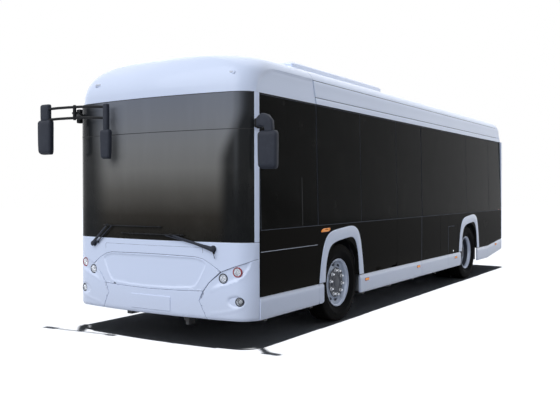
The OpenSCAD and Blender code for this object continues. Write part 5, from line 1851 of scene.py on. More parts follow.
    def arches(self) -> None:
        """White arch trims with a rolled section."""
        out = [(-0.613, 0.536), (-0.590, 0.680), (-0.558, 0.820), (-0.505, 0.965), (-0.430, 1.072),
               (-0.310, 1.132), (-0.15, 1.155), (0.0, 1.168), (0.13, 1.177), (0.250, 1.179),
               (0.345, 1.160), (0.430, 1.105), (0.490, 0.995), (0.530, 0.850), (0.565, 0.690), (0.590, 0.536)]
        inner = [(-0.470, 0.536), (-0.455, 0.700), (-0.425, 0.815), (-0.375, 0.910), (-0.300, 0.970),
                 (-0.17, 1.005), (0.0, 1.024), (0.13, 1.034), (0.215, 1.038), (0.290, 1.020),
                 (0.350, 0.965), (0.395, 0.870), (0.430, 0.740), (0.455, 0.536)]
        for i, station in enumerate((SHELL.front_axle, SHELL.rear_axle)):
            outer_line = self.smooth(out)
            inner_line = [p for p in self.smooth(inner)]
            hole = [(x, z) if math.hypot(x, max(0.0, z - self.arch_z)) > self.arch_r + 0.002 else (
                x * (self.arch_r + 0.002) / max(1e-6, math.hypot(x, z - self.arch_z)),
                self.arch_z + (z - self.arch_z) * (self.arch_r + 0.002) / max(
                    1e-6, math.hypot(x, z - self.arch_z))) for x, z in inner_line]
            hole = inner_line
            loop = [(station + x, z) for x, z in [*outer_line, *reversed(hole)]]
            middle = [((a[0] + b[0]) / 2 + station, (a[1] + b[1]) / 2) for a, b in zip(
                self._spread(outer_line, 40), self._spread(inner_line, 40))]

            def relief(u: float, v: float) -> float:
                """Crowned section."""
                return 0.004 * math.exp(-((reach((u, v), middle) / 0.035) ** 2))

            piece = Panel(self.skin, loop, edge=0.010, thick=0.012, grid=0.035, lift=0.010,
                          relief=relief).show(f"arch_trim_{self.tag}_{i}", Look.PAINT)
            if i == 0:
                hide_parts("arch_trims")
            lip = Mould()
            rows = []
            for x, z in inner_line:
                point, normal = self.skin.at(station + x, z)
                rows.append([point + normal * d for d in (0.006, -0.01, -0.03, -0.05)])
            lip.rings(rows, closed=False, caps=False)
            lip.show(f"arch_lip_{self.tag}_{i}", Look.WALL)

    def _spread(self, line: Sequence[Point], count: int) -> list[Point]:
        """Points spaced evenly by index along a line."""
        return [tuple(Vector(line[int(k)]).lerp(Vector(line[min(int(k) + 1, len(line) - 1)]), k % 1))
                for k in ((len(line) - 1) * i / (count - 1) for i in range(count))]

    def markers(self) -> None:
        """Amber repeater over the front wheel and amber lamps along the skirts."""
        repeater = [(1.285, 1.140), (1.300, 1.134), (1.478, 1.138), (1.506, 1.150), (1.516, 1.172),
                    (1.500, 1.180), (1.345, 1.176), (1.305, 1.162)]
        small = [box_outline(s - 0.058, s + 0.058, z - 0.0165, z + 0.0165, 0.012)
                 for s, z in ((2.562, 0.452), (4.43, 0.452), (6.225, 0.452), (8.76, 0.522))]
        if self.side is Side.RIGHT:
            small = [p for p in small if not any(a < p[0][0] < b for a, b in self.doors)]
        for i, loop in enumerate([soften(repeater, 0.015, 3), *small]):
            Panel(self.skin, loop, edge=0.005, thick=0.006, grid=0.03, lift=0.009).show(
                f"amber_lens_{self.tag}_{i}", Look.AMBER)
            Panel(self.skin, inset(divide(loop, 0.2) if area(loop) > 0 else divide(loop[::-1], 0.2), -0.004),
                  edge=0.001, thick=0.004, grid=0.05, lift=0.0028).show(
                      f"amber_base_{self.tag}_{i}", Look.TRIM)
        if self.side is Side.LEFT:
            for i, s in enumerate((8.985, 9.125)):
                Panel(self.skin, box_outline(s - 0.016, s + 0.016, 1.224, 1.236, 0.004), edge=0.002,
                      thick=0.003, grid=0.05, lift=0.003).show(f"red_marker_{i}", Look.RED)


@dataclass
class Flap:
    """Service flap of the left side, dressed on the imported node."""

    def build(self) -> None:
        """Dresses the flap and adds its skin and latch."""
        low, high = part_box("service_flap")
        x = SHELL.half
        skin = SideSkin(Side.LEFT)
        a, b = low.y - SHELL.seam_y, high.y - SHELL.seam_y
        Panel(skin, box_outline(a + 0.0015, b - 0.0015, low.z + 0.002, 0.998, 0.01), edge=0.0014,
              thick=0.0012, grid=0.12, lift=0.0016).show("flap_skin", Look.PANEL, Body.FLAP)
        latch = Mould().turned([(0.016, 0.0), (0.016, 0.003), (0.012, 0.0045), (0.0005, 0.005)],
                               Vector((x + 0.001, SHELL.y(6.08), 0.575)), Vector((1, 0, 0)), 28)
        latch.block((x + 0.004, SHELL.y(6.08) - 0.009, 0.572), (x + 0.007, SHELL.y(6.08) + 0.009, 0.578), 0.001)
        latch.show("flap_latch", Look.CHROME, Body.FLAP)
        dress("service_flap", Look.WALL)


@dataclass
class Doorway:
    """One double-leaf doorway on the right side."""

    name: str
    start: float
    end: float

    def build(self) -> None:
        """Dresses both leaves with rubbers, handles and gaskets."""
        for part, other in (("fore", "aft"), ("aft", "fore")):
            leaf, body = f"{self.name}_door_{part}_leaf", f"{self.name}_door_{part}"
            low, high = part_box(leaf)
            dress(leaf, Look.PANEL)
            pane_low, pane_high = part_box(f"{self.name}_door_{part}_glass")
            skin = FlatSkin(Vector((pane_low.x + 0.001, 0, 0)), Vector((0, -1, 0)), Vector((0, 0, 1)))
            glass = Panel(skin, box_outline(-pane_high.y, -pane_low.y, pane_low.z, pane_high.z, 0.03),
                          edge=0.002, thick=0.006, grid=0.3).show(f"{body}_pane", Look.GLASS, body)
            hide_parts(f"{self.name}_door_{part}_glass")
            gasket = Mould()
            ring = [(p[0] + (pane_low.y + pane_high.y) / 2, p[1] + (pane_low.z + pane_high.z) / 2)
                    for p in rounded_box(pane_high.y - pane_low.y - 0.006, pane_high.z - pane_low.z - 0.006,
                                         0.03, 5)]
            for x in (low.x - 0.0006, high.x + 0.0006):
                path = [Vector((x, y, z)) for y, z in [*ring, ring[0], ring[1]]]
                gasket.tube(path, 0.007, 8, 0.45, Vector((1, 0, 0)))
            edge_y = high.y if part == "fore" else low.y
            sign = 1 if part == "fore" else -1
            gasket.tube([Vector(((low.x + high.x) / 2, edge_y + sign * 0.0005, low.z + 0.01
                                  + (high.z - low.z - 0.02) * k / 8)) for k in range(9)], 0.0045, 10)
            gasket.show(f"{body}_rubbers", Look.RUBBER, body)
            rail = Mould()
            y = edge_y - sign * 0.11
            x = high.x + 0.026
            rail.tube([Vector((high.x, y, 1.0)), Vector((x, y, 1.02)), Vector((x + 0.004, y, 1.06)),
                       Vector((x + 0.004, y, 1.6)), Vector((x, y, 1.64)), Vector((high.x, y, 1.66))],
                      0.013, 12)
            rail.show(f"{body}_grab_rail", Look.RAIL, body)
        self.frame()

    def frame(self) -> None:
        """Rubber frame round the opening."""
        strip = Mould()
        x = -SHELL.half
        for s in (self.start, self.end):
            strip.block((x - 0.001, SHELL.y(s) - 0.004, 0.345), (x + 0.030, SHELL.y(s) + 0.004, 2.315), 0.002)
        strip.block((x - 0.001 + 0.026, SHELL.y(self.start), 2.312), (x + 0.050, SHELL.y(self.end), 2.322), 0.002)
        strip.show(f"{self.name}_door_frame", Look.RUBBER)


def dress(node: str, look: Finish) -> None:
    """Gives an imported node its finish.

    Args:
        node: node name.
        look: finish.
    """
    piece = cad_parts[node]
    piece.data.materials.clear()
    piece.data.materials.append(look.make())


# ------------------------------------------------------------------ rear
@dataclass
class RearFace:
    """Rear wall cladding, window, engine hatch, lamps, bar and number plate."""

    hatch_half: float = 0.860
    hatch_low: float = 0.708
    hatch_top: float = 1.218
    window_half: float = 0.930
    window_low: float = 1.50
    window_top: float = 2.38

    def build(self) -> None:
        """Builds the pieces of the rear end."""
        self.cladding()
        self.window()
        self.hatch()
        self.lamps()
        self.bar()

    def box(self, x: float, low: float, top: float, radius: float) -> list[Point]:
        """Outline across the middle of the rear, rounded at its corners."""
        return box_outline(-REAR.u(x), REAR.u(x), low, top, radius)

    def cladding(self) -> None:
        """Skin round the window, side posts and the lower panel."""
        far = REAR.u_back(0.255)
        upper = box_outline(-far, far, 1.226, 2.638, 0.01)
        window = box_outline(-REAR.u(self.window_half), REAR.u(self.window_half), self.window_low,
                             self.window_top, 0.06)
        Panel(REAR, upper, [window], edge=0.003, thick=0.004, grid=0.07, lift=0.0035,
              relief=lambda u, v: -0.003 * math.exp(-(((v - 2.47) / 0.006) ** 2))).show(
                  "rear_upper_skin", Look.PAINT)
        Panel(REAR, self.box(self.hatch_half + 0.006, 0.630, 0.702, 0.006), edge=0.003, thick=0.004,
              grid=0.07, lift=0.0035).show("rear_lower_skin", Look.PAINT)
        posts = Mould()
        for sign in (1, -1):
            rows = []
            for k in range(12):
                z = 1.226 + (2.638 - 1.226) * k / 11
                inner = (LEFT if sign > 0 else RIGHT).at(9.17, z)[0].x - sign * 0.004
                rows.append([Vector((x, SHELL.y(s), z)) for x, s in (
                    (inner, 9.1715), (sign * (SHELL.half + 0.001), 9.1715),
                    (sign * (SHELL.half + 0.0034), 9.1745), (sign * (SHELL.half + 0.0034), 9.178),
                    (inner, 9.178))])
            posts.rings(rows)
        posts.show("rear_post_returns", Look.PAINT, sharp=50)
        for sign in (1, -1):
            a, b = sorted((sign * REAR.u(self.hatch_half + 0.012), sign * far))
            holes = [circle(sign * REAR.u(1.08), z, 0.054) for z in (0.80, 0.925, 1.05)]
            Panel(REAR, box_outline(a, b, 0.630, 1.220, 0.012), holes, edge=0.003, thick=0.004,
                  grid=0.07, lift=0.0035).show(
                      "rear_quarter_" + ("left" if sign > 0 else "right"), Look.PAINT)

    def window(self) -> None:
        """Rear pane with its seal and a heated-wire field."""
        pane = box_outline(-REAR.u(self.window_half) + 0.004, REAR.u(self.window_half) - 0.004,
                           self.window_low + 0.004, self.window_top - 0.004, 0.058)
        Panel(REAR, pane, edge=0.003, thick=0.006, grid=0.15, lift=0.0).show("rear_pane", Look.GLASS)
        seal = Mould()
        loop = [*divide(pane, 0.06)]
        path = []
        for u, v in [*loop, loop[0]]:
            point, normal = REAR.at(u, v)
            path.append(point + normal * 0.002)
        seal.tube(path, 0.009, 8, 0.6)
        seal.show("rear_pane_seal", Look.RUBBER)
        wires = Mould()
        for k in range(12):
            v = self.window_low + 0.11 + 0.06 * k
            wires.tube([self.spot(u, v, -0.0004) for u in (-0.80 + 1.6 * i / 12 for i in range(13))],
                       0.0012, 5, 0.4)
        wires.show("rear_pane_wires", Look.PALE_METAL_AND_HIGHLIGHT)

    def spot(self, u: float, v: float, lift: float) -> Vector:
        """Point over the rear skin."""
        point, normal = REAR.at(u, v)
        return point + normal * lift

    def hatch(self) -> None:
        """Engine hatch with louvres, grab handle and locks, riding on its body."""
        edge = REAR.u(self.hatch_half)
        slots = []
        for k in range(7):
            v = 0.815 + 0.046 * k
            for sign in (-1, 1):
                slots.append(box_outline(sign * 0.44 - 0.30, sign * 0.44 + 0.30, v, v + 0.026, 0.012))

        def relief(u: float, v: float) -> float:
            """Raised field round the louvres."""
            du, dv = abs(u) - 0.79, abs(v - 0.966) - 0.205
            return 0.004 * (1 - ease(max(du, dv), -0.012, 0.004))

        skin = Panel(REAR, box_outline(-edge + 0.003, edge - 0.003, self.hatch_low + 0.003,
                                       self.hatch_top - 0.003, 0.02), slots, edge=0.004, thick=0.008,
                     grid=0.07, lift=0.003, relief=relief).show(
                         "rear_hatch_skin", Look.PAINT, Body.REAR_HATCH)
        slats, back, pins = Mould(), Mould(), Mould()
        for k in range(7):
            v = 0.815 + 0.046 * k
            for sign in (-1, 1):
                row = []
                for u in (sign * 0.44 - 0.302 + 0.604 * i / 8 for i in range(9)):
                    row.append([self.spot(u, v + dv, d) for dv, d in
                                ((-0.002, 0.0035), (0.001, 0.0045), (0.030, -0.010), (0.026, -0.011))])
                slats.rings(row)
        slats.show("rear_hatch_louvres", Look.TRIM, Body.REAR_HATCH)
        rows = []
        for u in (-0.78 + 1.56 * i / 16 for i in range(17)):
            rows.append([self.spot(u, v, d) for v, d in
                         ((0.790, -0.0125), (1.150, -0.0125), (1.150, -0.0105), (0.790, -0.0105))])
        back.rings(rows)
        back.show("rear_hatch_screen", Look.WALL, Body.REAR_HATCH)
        for x in (-0.62, 0.62):
            at, normal = REAR.at(REAR.u(x), 0.748)
            pins.turned([(0.024, 0.0), (0.024, 0.005), (0.019, 0.008), (0.0005, 0.009)], at, normal, 24)
        at, normal = REAR.at(0.0, 0.748)
        pins.tube([at + Vector((x, 0, 0)) + normal * d for x, d in
                   ((-0.085, 0.002), (-0.082, 0.010), (-0.070, 0.014), (0.070, 0.014), (0.082, 0.010),
                    (0.085, 0.002))], 0.0045, 10)
        pins.show("rear_hatch_locks", Look.CHROME, Body.REAR_HATCH)
        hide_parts("rear_hatch")
        hinge = Mould()
        low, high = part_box("rear_hatch")
        for x in (-0.3, 0.3):
            at, normal = REAR.at(REAR.u(x), 1.222)
            hinge.turned([(0.0005, -0.046), (0.0048, -0.045), (0.0048, 0.045), (0.0005, 0.046)],
                         at + normal * 0.003, Vector((1, 0, 0)), 16)
            hinge.rings([[at + Vector((dx, 0, 0)) + normal * d + Vector((0, 0, dz)) for dz, d in
                          ((-0.06, 0.0035), (-0.002, 0.004), (-0.002, 0.007), (-0.058, 0.007))]
                         for dx in (-0.04, 0.04)])
        hinge.show("rear_hatch_hinges", Look.TRIM, Body.REAR_HATCH)

    def lamps(self) -> None:
        """Stop, turn and reversing lamps on both sides, with bezels and ribbed lenses."""
        for sign, side in ((1, "left"), (-1, "right")):
            bezels = Mould()
            for z, look, name in ((0.80, Look.WHITE_LENS, "reverse"), (0.925, Look.RED, "stop"),
                                  (1.05, Look.AMBER, "turn")):
                at, normal = REAR.at(sign * REAR.u(1.08), z)
                bezels.turned([(0.0535, -0.02), (0.0535, 0.003), (0.051, 0.007), (0.047, 0.007),
                               (0.0455, 0.003), (0.0455, -0.02)], at, normal, 44)
                lens = Mould().turned([(0.0453, -0.015), (0.0453, 0.001), (0.042, 0.0045), (0.030, 0.0075),
                                       (0.015, 0.009), (0.0005, 0.0095)], at, normal, 44)
                piece = lens.show(f"tail_lens_{name}_{side}", look)
                if name == "stop" and sign > 0:
                    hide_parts("tail_lamps")
            bezels.show(f"tail_bezels_{side}", Look.TRIM)
        strip = Mould()
        for x in (-0.70, 0.70):
            strip.rings([[self.spot(REAR.u(x) + du, 2.47 + dv, d) for du, dv in
                          rounded_box(0.13 * k, 0.036 * k, 0.016, 4)] for d, k in
                         ((-0.004, 1.0), (0.007, 1.0), (0.011, 0.85))])
        strip.show("rear_marker_lenses", Look.RED)

    def bar(self) -> None:
        """Rear bar wrapped round the corners, its step pad and the blank plate."""
        far = REAR.u_back(0.232)

        def relief(u: float, v: float) -> float:
            """Rolled lower edge and a bevelled top."""
            return -0.012 * (1 - ease(v, 0.394, 0.43)) ** 2 - 0.007 * ease(v, 0.588, 0.606)

        for name, a, b in (("right", -far, -REAR.u(0.905)), ("middle", -REAR.u(0.895), REAR.u(0.895)),
                           ("left", REAR.u(0.905), far)):
            Panel(REAR, box_outline(a, b, 0.396, 0.614, 0.014), edge=0.006, thick=0.04, grid=0.05,
                  lift=-0.001, relief=relief).show(f"rear_bar_{name}", Look.PAINT)
        plate = Mould()
        plate.rings([[self.spot(p[0], 0.505 + p[1], d) for p in rounded_box(0.46 * s, 0.114 * s, 0.012, 5)]
                     for d, s in ((-0.002, 1.0), (0.003, 1.0), (0.0045, 0.985), (0.003, 0.97),
                                  (0.003, 0.4))])
        plate.show("rear_plate", Look.PALE_METAL_AND_HIGHLIGHT)
        steps = Mould()
        for x in (-0.55, 0.55):
            for k in range(5):
                v = 0.455 + 0.022 * k
                steps.tube([self.spot(REAR.u(x) + du, v, 0.0005) for du in
                            (-0.17, -0.085, 0.0, 0.085, 0.17)], 0.005, 8, 0.6)
        steps.show("rear_bar_ribs", Look.TRIM)


# ------------------------------------------------------------------ wheels
@dataclass
class Wheels:
    """Tyres, rims, nuts and hubs of the single front and twin rear wheels."""

    centre_x: float = 1.0975
    twin_x: float = 0.7855
    half: float = 0.1375
    tyre_r: float = 0.479
    rim_r: float = 0.298

    def build(self) -> None:
        """Builds the wheels of both axles."""
        for side in Side:
            tag = side.name.lower()
            front = Body.FRONT_LEFT if side is Side.LEFT else Body.FRONT_RIGHT
            rear = Body.REAR_LEFT if side is Side.LEFT else Body.REAR_RIGHT
            self.front(side, tag, front)
            self.rear(side, tag, rear)

    def look(self, station: float, name: str) -> Tread:
        """Tyre finish centred on an axle."""
        return Tread(name, "tyre", (SHELL.y(station), self.tyre_r))

    def tyre(self, x: float, station: float, side: Side) -> Mould:
        """Tyre with shoulders, sidewall mouldings and tread grooves.

        Args:
            x: distance of its middle from the bus's middle.
            station: axle station.
            side: side of the bus.

        Returns:
            Its corners and faces.
        """
        r, h, rim = self.tyre_r, self.half, self.rim_r
        wall = [(rim - 0.002, 0.088), (rim + 0.004, 0.100), (rim + 0.014, 0.110), (rim + 0.020, 0.1105),
                (rim + 0.024, 0.1095), (rim + 0.050, 0.1265), (rim + 0.080, 0.1345), (rim + 0.084, 0.1368),
                (rim + 0.092, 0.1370), (rim + 0.096, 0.1352), (rim + 0.120, 0.1330), (rim + 0.138, 0.1300),
                (r - 0.036, 0.1275), (r - 0.020, 0.1250), (r - 0.009, 0.1200), (r - 0.003, 0.1130)]
        top = [(r - 0.001, 0.105)]
        for g in (0.075, 0.026):
            top += [(r, g + 0.0065), (r - 0.011, g + 0.0045), (r - 0.011, g - 0.0045), (r, g - 0.0065)]
        half = [*wall, *top]
        profile = [*half, *[(a, -b) for a, b in reversed(half)]]
        axis = Vector((side.value, 0, 0))
        centre = Vector((side.value * x, SHELL.y(station), r))
        inner = [(rim - 0.004, -0.07), (rim - 0.004, 0.07)]
        mould = Mould()
        return mould.turned([*profile, *inner, profile[0]], centre, axis, 128)

    def holes(self, mould: Mould, centre: Vector, axis: Vector, profile: Sequence[Point], count: int,
              middle: float, long: float, wide: float, steps: int = 180) -> None:
        """Turned disc with a ring of vent slots cut through it and walls in each slot.

        Args:
            mould: mould that takes the disc.
            centre: centre of the disc at distance 0.
            axis: outward direction.
            profile: (radius, distance) points from the hub out.
            count: number of slots.
            middle: radius of the slots' middle.
            long: slot length round the disc.
            wide: slot width along the radius.
            steps: points round the disc.
        """
        side = axis.orthogonal().normalized()
        other = axis.cross(side)

        def height(r: float) -> float:
            """Distance along the axis at a radius."""
            for (r0, a0), (r1, a1) in zip(profile, profile[1:]):
                if r0 <= r <= r1:
                    return a0 + (a1 - a0) * (r - r0) / max(1e-9, r1 - r0)
            return profile[-1][1]

        rows = sorted({*[p[0] for p in profile], *[middle - wide / 2 + wide * k / 6 for k in range(7)]})
        start = len(mould.verts)
        for r in rows:
            for i in range(steps):
                a = 2 * math.pi * i / steps
                mould.verts.append(centre + axis * height(r) + (side * math.cos(a) + other * math.sin(a)) * r)
        pitch = steps // count

        def cut(row: int, i: int) -> bool:
            """Whether a cell belongs to a slot."""
            r = (rows[row] + rows[row + 1]) / 2
            off = ((i + 0.5) % pitch - pitch / 2) * 2 * math.pi / steps * middle
            dv = abs(r - middle)
            if dv > wide / 2:
                return False
            reach_u = long / 2 - wide / 2 + math.sqrt(max(0.0, (wide / 2) ** 2 - dv * dv))
            return abs(off) < reach_u

        for row in range(len(rows) - 1):
            for i in range(steps):
                j = (i + 1) % steps
                a, b = start + row * steps, start + (row + 1) * steps
                if not cut(row, i):
                    mould.faces.append([a + i, a + j, b + j, b + i])
                    continue
                for other_row, other_i, p, q in ((row - 1, i, a + i, a + j), (row + 1, i, b + j, b + i),
                                                 (row, i - 1, b + i, a + i), (row, j, a + j, b + j)):
                    if not cut(other_row, other_i % steps):
                        base = len(mould.verts)
                        mould.verts += [mould.verts[p] - axis * 0.012, mould.verts[q] - axis * 0.012]
                        mould.faces.append([p, q, base + 1, base])

    def nuts(self, mould: Mould, centre: Vector, axis: Vector, ring: float, count: int, tall: float,
             across: float = 0.0165) -> None:
        """Ring of hexagon nuts with washers and stud ends.

        Args:
            mould: mould that takes them.
            centre: middle of the ring, on the disc's face.
            axis: outward direction.
            ring: ring radius.
            count: number of nuts.
            tall: nut height.
            across: half the width over corners.
        """
        side = axis.orthogonal().normalized()
        other = axis.cross(side)
        for k in range(count):
            a = 2 * math.pi * (k + 0.5) / count
            at = centre + (side * math.cos(a) + other * math.sin(a)) * ring
            mould.turned([(across * 1.25, 0.0), (across * 1.25, 0.003), (across * 1.05, 0.0045)], at, axis, 20)
            mould.turned([(across, 0.003), (across, tall - 0.003), (across * 0.86, tall), (0.0112, tall)],
                         at, axis, 6)
            mould.turned([(0.0098, tall - 0.004), (0.0098, tall + 0.008), (0.0075, tall + 0.0105),
                          (0.0004, tall + 0.0105)], at, axis, 16)

    def front(self, side: Side, tag: str, body: Body) -> None:
        """Front wheel: convex disc, hub with its cap and the valve."""
        station = SHELL.front_axle
        axis = Vector((side.value, 0, 0))
        at = Vector((side.value * self.centre_x, SHELL.y(station), self.tyre_r))
        tyre = self.tyre(self.centre_x, station, side).show(
            f"front_tyre_{tag}", self.look(station, "tread_front"), body, 28)
        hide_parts(f"front_{tag}_tyre")
        self.rim(at, axis, 1).show(f"front_rim_ring_{tag}", Look.RIM, body)
        disc = Mould()
        self.holes(disc, at, axis, [(0.120, 0.0775), (0.165, 0.0775), (0.178, 0.074), (0.196, 0.060),
                                    (0.222, 0.052), (0.245, 0.056), (0.2605, 0.066)], 10, 0.224, 0.060, 0.030)
        piece = disc.show(f"front_disc_{tag}", Look.DISC, body, 40)
        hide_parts(f"front_{tag}_rim")
        Mould().turned([(0.118, 0.0778), (0.120, 0.0785), (0.172, 0.0785), (0.181, 0.0770), (0.184, 0.0725)],
                       at, axis, 96).show(f"front_boss_{tag}", Look.HUB, body)
        nuts = Mould()
        self.nuts(nuts, at + axis * 0.0785, axis, 0.1525, 10, 0.024)
        nuts.show(f"front_nuts_{tag}", Look.NUT, body, 20)
        hub = Mould().turned([(0.125, 0.060), (0.125, 0.080), (0.119, 0.0855), (0.098, 0.0875), (0.094, 0.083),
                              (0.066, 0.0835), (0.0635, 0.0865), (0.0600, 0.0885), (0.0005, 0.0885)],
                             at, axis, 72)
        self.bolts(hub, at + axis * 0.0865, axis, 0.108, 10)
        hub.show(f"front_hub_{tag}", Look.HUB, body)
        self.valve(at, axis, tag, "front", body)

    def bolts(self, mould: Mould, centre: Vector, axis: Vector, ring: float, count: int) -> None:
        """Small bolt heads round a flange."""
        side = axis.orthogonal().normalized()
        other = axis.cross(side)
        for k in range(count):
            a = 2 * math.pi * k / count
            at = centre + (side * math.cos(a) + other * math.sin(a)) * ring
            mould.turned([(0.0065, -0.002), (0.0065, 0.0035), (0.005, 0.0045), (0.0003, 0.0045)], at, axis, 6)

    def valve(self, at: Vector, axis: Vector, tag: str, name: str, body: Body) -> None:
        """Tyre valve stem beside a vent slot."""
        stem = Mould()
        up = Vector((0, 0, 1))
        base = at + up * 0.250 + axis * 0.060
        stem.tube([base, base + axis * 0.012 + up * 0.002, base + axis * 0.024 - up * 0.004,
                   base + axis * 0.032 - up * 0.010], [0.0055, 0.0048, 0.0042, 0.0042], 10)
        stem.show(f"{name}_valve_{tag}", Look.NUT, body)

    def rim(self, at: Vector, axis: Vector, outward: int) -> Mould:
        """Rim ring: rolled flange, bead seat, well and back flange."""
        r = self.rim_r
        profile = [(r - 0.0385, 0.040), (r - 0.030, 0.062), (r - 0.026, 0.080), (r - 0.020, 0.092),
                   (r - 0.004, 0.0955), (r - 0.001, 0.0995), (r - 0.001, 0.1055), (r - 0.004, 0.1078),
                   (r - 0.010, 0.1078), (r - 0.013, 0.1040), (r - 0.012, 0.0990)]
        outer = [(r - 0.0155, 0.0985), (r - 0.0225, 0.0965), (r - 0.032, 0.084), (r - 0.0375, 0.066),
                 (r - 0.0395, 0.045), (r - 0.0405, -0.06), (r - 0.024, -0.094), (r - 0.002, -0.100),
                 (r - 0.001, -0.107), (r - 0.006, -0.107), (r - 0.020, -0.098), (r - 0.030, -0.06)]
        loop = [*profile, *outer]
        return Mould().turned([(a, outward * b) for a, b in [*loop, loop[0]]], at, axis, 96)

    def rear(self, side: Side, tag: str, body: Body) -> None:
        """Twin rear wheels: dished outer disc with a long hub, and the inner wheel behind."""
        station = SHELL.rear_axle
        axis = Vector((side.value, 0, 0))
        outer = Vector((side.value * self.centre_x, SHELL.y(station), self.tyre_r))
        inner = Vector((side.value * self.twin_x, SHELL.y(station), self.tyre_r))
        look = self.look(station, "tread_rear")
        for name, x in (("outer", self.centre_x), ("inner", self.twin_x)):
            piece = self.tyre(x, station, side).show(f"rear_tyre_{name}_{tag}", look, body, 28)
            if name == "outer":
                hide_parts(f"rear_{tag}_tyres")
        self.rim(outer, axis, 1).show(f"rear_rim_outer_{tag}", Look.RIM, body)
        self.rim(inner, axis, -1).show(f"rear_rim_inner_{tag}", Look.RIM, body)
        # painted shade: a dark sleeve over the outer rim's inner face, where the deep dish lies in shade
        rim_shade_profile = [(self.rim_r - 0.0415, 0.058), (self.rim_r - 0.0425, 0.0), (self.rim_r - 0.0432, -0.075)]
        Mould().turned(rim_shade_profile, outer, axis, 96).show(f"rear_rim_liner_{tag}", Look.HUB, body)
        dish = [(0.120, -0.0805), (0.180, -0.0805), (0.200, -0.070), (0.232, -0.040), (0.2575, -0.010)]
        disc = Mould()
        self.holes(disc, outer, axis, dish, 10, 0.222, 0.060, 0.032)
        piece = disc.show(f"rear_disc_outer_{tag}", Look.DISC, body, 40)
        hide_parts(f"rear_{tag}_rims")
        back = Mould()
        self.holes(back, inner, -axis, dish, 10, 0.219, 0.050, 0.032)
        back.show(f"rear_disc_inner_{tag}", Look.DISC, body, 40)
        Mould().turned([(0.118, -0.0800), (0.120, -0.0793), (0.178, -0.0793), (0.186, -0.0770), (0.190, -0.072)],
                       outer, axis, 96).show(f"rear_boss_{tag}", Look.HUB, body)
        nuts = Mould()
        self.nuts(nuts, outer - axis * 0.0793, axis, 0.1560, 10, 0.024)
        nuts.show(f"rear_nuts_{tag}", Look.NUT, body, 20)
        hub = Mould().turned([(0.134, -0.125), (0.134, -0.078), (0.128, -0.070), (0.120, 0.004),
                              (0.112, 0.018), (0.100, 0.024), (0.096, 0.034), (0.088, 0.0395),
                              (0.030, 0.0405), (0.026, 0.044), (0.0005, 0.045)], outer, axis, 72)
        self.bolts(hub, outer + axis * 0.0395, axis, 0.072, 8)
        hub.show(f"rear_hub_{tag}", Look.HUB, body)
        self.valve(outer - axis * 0.075, axis, tag, "rear", body)


# ------------------------------------------------------------------ cabin
@dataclass
class Seats:
    """Pairs of passenger seats: padded cushions and backs on moulded shells with pedestals."""

    places: tuple[tuple[float, float, float], ...] = (
        (0.86, 2.65, 0.345), (0.86, 3.45, 0.345), (0.86, 4.19, 0.345), (0.86, 4.90, 0.345),
        (-0.86, 2.56, 0.345), (-0.86, 4.90, 0.345), (0.86, 5.76, 0.72), (-0.86, 5.76, 0.72),
        (0.86, 7.70, 0.72), (-0.86, 7.70, 0.72))

    def build(self) -> None:
        """Builds every pair from one shaped cushion and one shaped back."""
        cushion = Upholstery("seat_cushion", (0.276, 0.425, 0.085), ((0.0, -0.11), (0.0, 0.09)))
        back = Upholstery("seat_back", (0.276, 0.470, 0.066), ((0.0, -0.10), (0.0, 0.11)), True)
        shells, legs, grips, welts = Mould(), Mould(), Mould(), Mould()
        for i, (x, station, floor) in enumerate(self.places):
            y = SHELL.y(station)
            for sign in (1, -1):
                at = Vector((x + sign * 0.148, y, floor))
                name = f"{i}_{'left' if sign > 0 else 'right'}"
                for form, spot, tilt in ((cushion, Vector((0, 0.215, 0.352)), 0.0),
                                         (back, Vector((0, 0.427, 0.655)), 0.0)):
                    piece = form.copy(f"{form.name}_{name}", at + spot, tilt)
                    if i == 0 and sign > 0 and form is cushion:
                        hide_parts("seats")
                self.shell(shells, grips, at)
            legs.block((x - 0.030, y + 0.12, floor), (x + 0.030, y + 0.33, floor + 0.29), 0.006)
            legs.block((x - 0.11, y + 0.11, floor), (x + 0.11, y + 0.34, floor + 0.012), 0.004)
            legs.block((x - 0.26, y + 0.17, floor + 0.275), (x + 0.26, y + 0.27, floor + 0.300), 0.005)
        shells.show("seat_shells", Look.CABIN, sharp=50)
        legs.show("seat_pedestals", Look.CAST)
        grips.show("seat_grips", Look.RAIL)

    def shell(self, shells: Mould, grips: Mould, at: Vector) -> None:
        """Moulded pan and back of one seat.

        Args:
            shells: mould for the shell.
            grips: mould for the grab handle.
            at: floor point at the middle of the seat's front.
        """
        w = 0.142
        profile = [(0.002, 0.318), (0.006, 0.304), (0.20, 0.302), (0.395, 0.306), (0.445, 0.330),
                   (0.462, 0.40), (0.474, 0.66), (0.478, 0.90), (0.474, 0.918), (0.466, 0.920),
                   (0.462, 0.905), (0.461, 0.66), (0.452, 0.42), (0.435, 0.345), (0.39, 0.322),
                   (0.20, 0.318), (0.010, 0.322)]
        rows = []
        for x, lift in ((-w, 0.010), (-w + 0.012, 0.0), (0.0, 0.0), (w - 0.012, 0.0), (w, 0.010)):
            rows.append([at + Vector((x, s - (lift if z > 0.45 else 0.0), z + (lift if z < 0.33 else 0.0)))
                         for s, z in profile])
        shells.rings(rows)
        grips.tube([at + Vector((x, 0.470, z)) for x, z in
                    ((-0.09, 0.895), (-0.088, 0.915), (-0.075, 0.9195), (0.075, 0.9195), (0.088, 0.915),
                     (0.09, 0.895))], 0.0095, 10)


